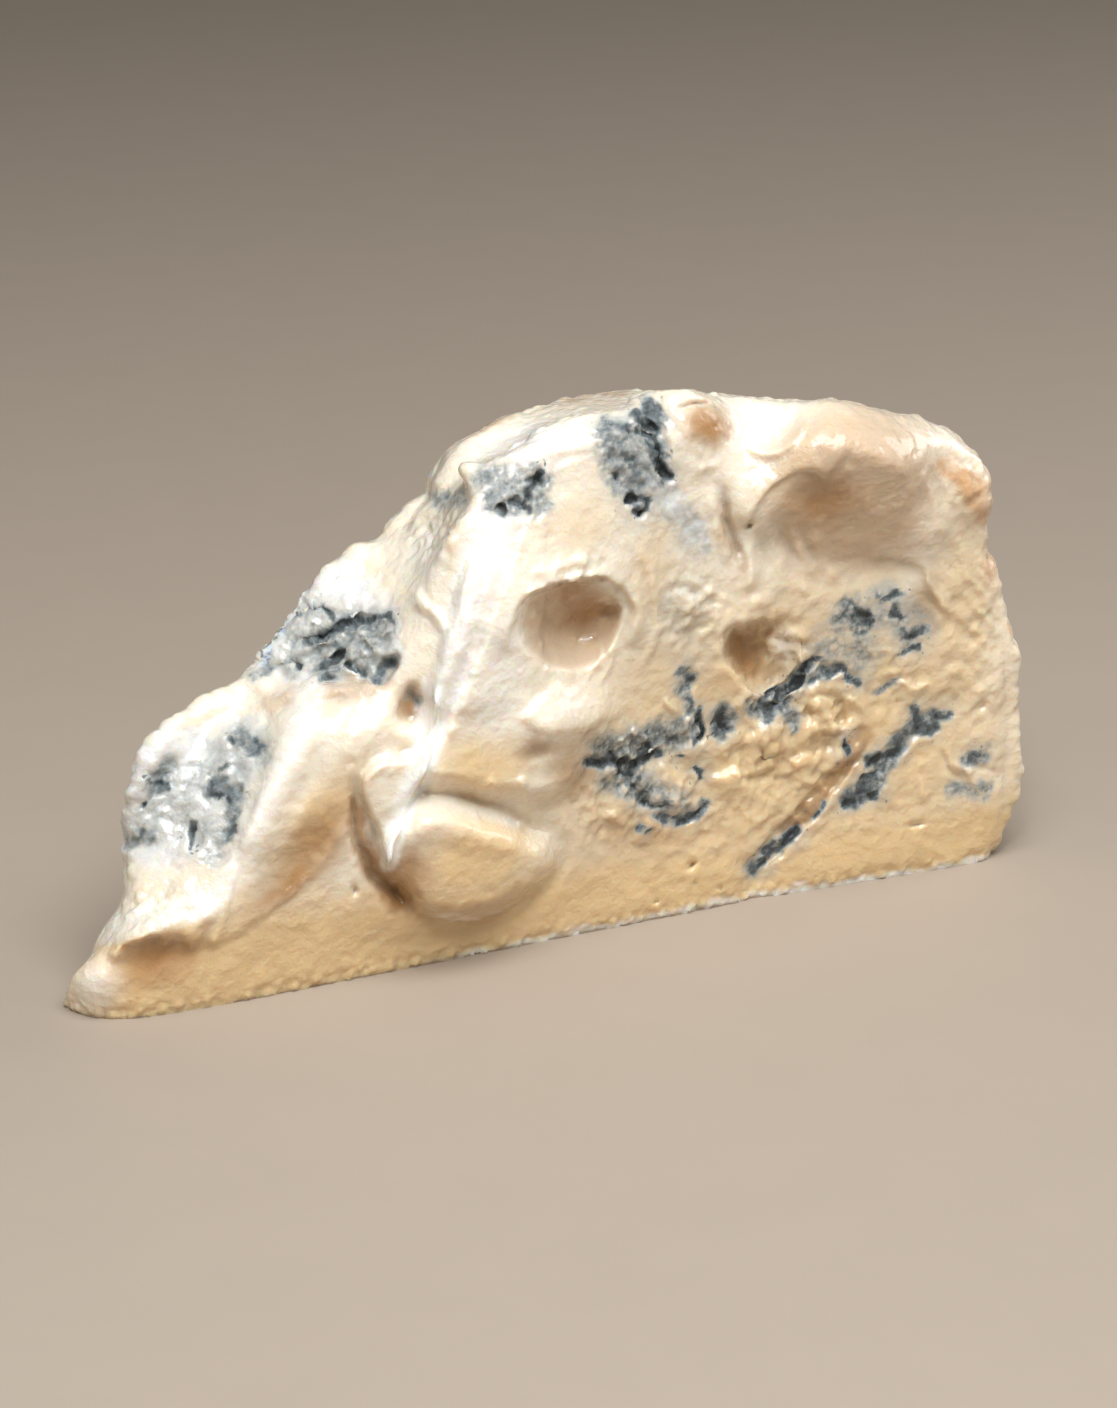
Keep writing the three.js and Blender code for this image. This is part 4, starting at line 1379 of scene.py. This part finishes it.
def cheese_finish(colours):
    """Creamy paste that light enters, with dry mould and rind over it."""
    recipe = Recipe("cheese")
    place = recipe.add("ShaderNodeTexCoord", output="Object")
    mould, haze, curd, brown, wax, orange, butter, hollow, rind, torn, white = map(recipe.layer, LAYERS)
    coarse, middle, fine, specks = (recipe.grain(place, *grain) for grain in (COARSE, MIDDLE, FINE, SPECKS))

    def coated(colour, coats):
        """A colour with others over it: where each one shows, and the colour."""
        for share, over in coats:
            colour = recipe.mix(share, colour, over)
        return colour

    # Grain breaks the mould up, and hollows darken it: partly more mould in the crevices, partly painted
    # shade there
    grit = (middle - 0.5) * 1.3 + (fine - 0.5) * 0.9 + hollow * 0.7
    tone = mould * 1.13 + grit * mould.between(0.0, 0.5) * (1 - torn * 0.4)
    covered = tone.between(0.1, 0.5)
    mould_coats = (
        (tone.between(0.0, 0.45) * 0.9, colours.mould_grey),
        (tone.between(0.3, 0.85), colours.mould_blue),
        (tone.between(0.75, 1.25), colours.mould_dark),
    )
    paste = coated(colours.ivory, (
        # Yellower paste, partly painted warm shade over the base, on the tongue and the fold's shaded side
        (butter, colours.butter),
        (torn * 0.8, colours.chalk),
        # Waxy tan, partly painted shade in the bowl, the crater and under the bulge's brow
        (wax * 0.85, colours.wax),
        (curd * middle.between(0.4, 0.7) * 0.4, colours.curd),
        (coarse.between(0.45, 0.75) * 0.2, colours.butter),
        # Orange: painted warm shade under the tip, the rind's own orange by the rind
        (orange * coarse.between(0.2, 0.5), colours.rind_orange),
        (haze.between(0.05, 0.8) * middle.between(0.1, 0.6) * 0.52, colours.haze),
        # Painted shade: brown in the hollows of the skin, then in the shaded zones of the front
        (hollow.between(0.1, 0.9) * 0.4, colours.brown),
        (brown * coarse.between(0.0, 0.4), colours.brown),
        # Whiter cream, partly painted light on lit crests, the lip's highlight and the tip's glow
        (white, colours.milk),
        (specks.between(0.68, 0.74) * haze.between(0.25, 0.7) * 0.8, colours.mould_blue),
        *mould_coats,
    ))
    crust = coated(colours.rind_tan, (
        ((coarse * 0.55 + middle * 0.45).between(0.38, 0.62), colours.rind_bloom),
        (orange * coarse.between(0.3, 0.6), colours.rind_orange),
        (fine.between(0.66, 0.76) * 0.6, colours.rind_speck),
        *mould_coats,
    ))

    relief = fine * 0.5 + middle
    moist, rugged = (
        recipe.add("ShaderNodeBump", {}, {"Strength": strength, "Distance": depth * MM, "Height": relief})
        for strength, depth in (MOIST_RELIEF, DRY_RELIEF)
    )
    cream = recipe.add(
        "ShaderNodeBsdfPrincipled",
        {"subsurface_method": "RANDOM_WALK"},
        {
            "Base Color": paste,
            "Roughness": covered * 0.45 + wax * 0.2 + 0.2,
            "Subsurface Weight": 0.65,
            "Subsurface Radius": (1.0, 0.55, 0.26),
            "Subsurface Scale": 2.0 * MM,
            "Coat Weight": (1 - covered.most(curd * 0.5)) * 0.5 + 0.15,
            "Coat Roughness": 0.09,
            "Normal": moist,
        },
    )
    sockets = {"Base Color": crust, "Roughness": 0.72, "Normal": rugged}
    dry = recipe.add("ShaderNodeBsdfPrincipled", sockets=sockets)
    return recipe.finish(recipe.add("ShaderNodeMixShader", sockets={0: rind, 1: cream, 2: dry}))


def floor_finish(stage):
    """A pale matt tabletop with a faint mottle."""
    recipe = Recipe("tabletop")
    mottle = recipe.grain(recipe.add("ShaderNodeTexCoord", output="Object"), *MOTTLE)
    lighter = tuple(min(1.0, MOTTLE_LIFT * part) for part in stage.floor_colour)
    colour = recipe.mix(mottle, stage.floor_colour, lighter)
    sockets = {"Base Color": colour, "Roughness": 0.7}
    return recipe.finish(recipe.add("ShaderNodeBsdfPrincipled", sockets=sockets))


# Stage

def add_floor(stage):
    mesh = bpy.data.meshes.new("floor")
    half = stage.floor_half
    corners = [(-half, -half, 0), (half, -half, 0), (half, half, 0), (-half, half, 0)]
    mesh.from_pydata(corners, [], [(0, 1, 2, 3)])
    floor = bpy.data.objects.new("floor", mesh)
    floor.data.materials.append(floor_finish(stage))
    bpy.context.scene.collection.objects.link(floor)


def add_soft_light(name, power, place, size, colour):
    light = bpy.data.lights.new(name, "AREA")
    light.shape = "DISK"
    light.size = size
    light.energy = power
    light.color = colour
    lamp = bpy.data.objects.new(name, light)
    lamp.location = place
    lamp.rotation_mode = "QUATERNION"
    lamp.rotation_quaternion = (LIGHTS_AIM - Vector(place)).to_track_quat("-Z", "Y")
    bpy.context.scene.collection.objects.link(lamp)


def add_camera(stage):
    data = bpy.data.cameras.new("camera")
    data.lens = stage.lens
    camera = bpy.data.objects.new("camera", data)
    forward = Vector((
        math.sin(EYE_TURN) * math.cos(EYE_DIP),
        math.cos(EYE_TURN) * math.cos(EYE_DIP),
        -math.sin(EYE_DIP),
    ))
    right = Vector((math.cos(EYE_TURN), -math.sin(EYE_TURN), 0.0))
    turned = Matrix((right, right.cross(forward), -forward)).transposed()
    camera.matrix_world = Matrix.Translation(Vector((EYE + cut_origin()) * MM)) @ turned.to_4x4()
    bpy.context.scene.collection.objects.link(camera)
    bpy.context.scene.camera = camera


def set_world(stage):
    world = bpy.data.worlds.new("studio")
    world.use_nodes = True
    background = world.node_tree.nodes["Background"]
    background.inputs["Color"].default_value = (*stage.sky_colour, 1.0)
    background.inputs["Strength"].default_value = stage.sky_strength
    bpy.context.scene.world = world


# Settings that a user would change

def colour_setting(name, description, default):
    return FloatVectorProperty(
        name=name, description=description, default=default, subtype="COLOR", size=3, min=0.0, max=1.0,
    )


def height_setting(name, description, default):
    return FloatProperty(name=name, description=f"{description}, in millimetres", default=default)


def power_setting(name, description, default):
    return FloatProperty(name=name, description=description, default=default, unit="POWER")


class CheeseShape(bpy.types.PropertyGroup):
    """How the wedge's skin is modelled."""

    blank_voxel: FloatProperty(
        name="Blank voxel", description="Spacing of the skin before its forms are laid on", default=0.70 * MM,
        unit="LENGTH", precision=5,
    )
    voxel: FloatProperty(
        name="Voxel", description="Spacing of the even skin", default=0.40 * MM, unit="LENGTH", precision=5,
    )
    most_triangles: IntProperty(
        name="Most triangles", description="Triangles each part of the skin may have", default=190000,
    )
    soften_rounds: IntProperty(
        name="Soften", description="Rounds that smooth the solid's facets away", default=24,
    )
    paste_swell: height_setting("Paste swell", "Height of the soft unevenness all over", 0.2)
    curd_height: height_setting("Curd height", "Height of the packed curds", 1.6)
    streak_height: height_setting("Streak height", "Height of the ripples in drawn cream", 0.3)
    end_swell: height_setting("End swell", "How far the outer rind bellies out", 1.6)
    crag_depth: height_setting("Crag depth", "Depth of the cracks in the mould", 0.32)
    crumb_height: height_setting("Crumb height", "Height of the fine crumbs", 0.6)
    edge_height: height_setting("Edge height", "Height of the lumps along the outline", 1.1)
    crease_depth: height_setting("Crease depth", "Depth of the wet creases in the paste", 0.6)
    crust_height: height_setting("Crust height", "Height of the bumps along the base", 1.0)
    rind_height: height_setting("Rind height", "Height of the bumps on the rind", 0.6)


class CheeseColours(bpy.types.PropertyGroup):
    """Colours of the paste, mould and rind."""

    # Milk also paints light on lit crests and the tip's glow
    milk: colour_setting("Milk", "Whitest cream", (0.94, 0.915, 0.86))
    ivory: colour_setting("Ivory", "Soft cream", (0.835, 0.765, 0.635))
    chalk: colour_setting("Chalk", "Crumbs of the torn side", (0.74, 0.76, 0.765))
    # Butter also paints warm shade over the base and on the shaded tongue
    butter: colour_setting("Butter", "Smooth paste over the base", (0.75, 0.555, 0.305))
    # Wax also paints shade in the bowl and the crater
    wax: colour_setting("Wax", "Waxy paste of the bulge", (0.60, 0.44, 0.29))
    curd: colour_setting("Curd", "Gaps between curds", (0.70, 0.56, 0.36))
    # Brown paints shade in hollows and overhangs, besides some real brown paste
    brown: colour_setting("Brown", "Translucent paste in hollows", (0.385, 0.20, 0.07))
    haze: colour_setting("Haze", "Grey tint in the paste round the mould", (0.50, 0.49, 0.435))
    mould_grey: colour_setting("Grey mould", "Thin mould", (0.345, 0.365, 0.35))
    mould_blue: colour_setting("Blue mould", "Mould", (0.115, 0.14, 0.148))
    mould_dark: colour_setting("Dark mould", "Mould in crevices", (0.03, 0.036, 0.036))
    rind_tan: colour_setting("Rind", "Crust of the rind", (0.68, 0.52, 0.37))
    rind_bloom: colour_setting("Bloom", "White bloom on the rind", (0.84, 0.74, 0.60))
    # Orange rind also paints warm shade under the tip's lip
    rind_orange: colour_setting("Orange rind", "Washed patches of the rind", (0.62, 0.36, 0.17))
    rind_speck: colour_setting("Specks", "Dark specks of the rind", (0.30, 0.21, 0.15))


class CheeseStage(bpy.types.PropertyGroup):
    """The studio round the wedge."""

    lens: FloatProperty(
        name="Lens", description="Focal length of the camera", default=117.6, subtype="DISTANCE_CAMERA",
    )
    floor_half: FloatProperty(name="Floor", description="Half the floor's width", default=3.0, unit="LENGTH")
    floor_colour: colour_setting("Floor", "Tabletop", (0.36, 0.30, 0.24))
    sky_colour: colour_setting("Sky", "Light from all round", (1.0, 0.86, 0.68))
    sky_strength: FloatProperty(name="Sky strength", description="Brightness of the sky", default=0.06)
    key_power: power_setting("Key", "Light from above", 9.5)
    spark_power: power_setting("Spark", "Small light for wet glints", 1.2)
    fill_power: power_setting("Fill", "Light from the front right", 0.3)
    rim_power: power_setting("Rim", "Light from the right", 1.5)
    edge_power: power_setting("Edge", "Light from the left", 0.8)


class CHEESE_OT_make_wedge(bpy.types.Operator):
    """Models the wedge's skin over its solid and gives it its finish"""

    bl_idname = "cheese.make_wedge"
    bl_label = "Make wedge"

    def execute(self, context):
        finish = cheese_finish(context.scene.cheese_colours)
        for name, mesh in wedge_meshes(context.scene.cheese_shape).items():
            mesh.materials.clear()
            mesh.materials.append(finish)
            piece = bpy.data.objects.new(name, mesh)
            context.scene.collection.objects.link(piece)
            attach(piece, "root")
            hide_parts(NODE)
        return {"FINISHED"}


class CHEESE_OT_set_stage(bpy.types.Operator):
    """Adds the floor, the lights and the camera"""

    bl_idname = "cheese.set_stage"
    bl_label = "Set stage"

    def execute(self, context):
        stage = context.scene.cheese_stage
        add_floor(stage)
        for name, light in LIGHTS.items():
            add_soft_light(name, getattr(stage, f"{name}_power"), *light)
        set_world(stage)
        add_camera(stage)
        context.scene.view_settings.view_transform = "Standard"
        return {"FINISHED"}


class CHEESE_PT_panel(bpy.types.Panel):
    """Lists the steps that make the cheese"""

    bl_idname = "CHEESE_PT_panel"
    bl_label = "Cheese"
    bl_space_type = "VIEW_3D"
    bl_region_type = "UI"
    bl_category = "Cheese"

    def draw(self, context):
        for operator in OPERATORS:
            self.layout.operator(operator.bl_idname)


OPERATORS = (CHEESE_OT_make_wedge, CHEESE_OT_set_stage)
GROUPS = {"cheese_shape": CheeseShape, "cheese_colours": CheeseColours, "cheese_stage": CheeseStage}


def register():
    for name, group in GROUPS.items():
        bpy.utils.register_class(group)
        setattr(bpy.types.Scene, name, PointerProperty(type=group))
    for item in (*OPERATORS, CHEESE_PT_panel):
        bpy.utils.register_class(item)


def unregister():
    for item in (CHEESE_PT_panel, *OPERATORS):
        bpy.utils.unregister_class(item)
    for name, group in GROUPS.items():
        delattr(bpy.types.Scene, name)
        bpy.utils.unregister_class(group)


def main():
    register()
    bpy.ops.cheese.make_wedge()
    bpy.ops.cheese.set_stage()


if __name__ == "__main__":
    main()
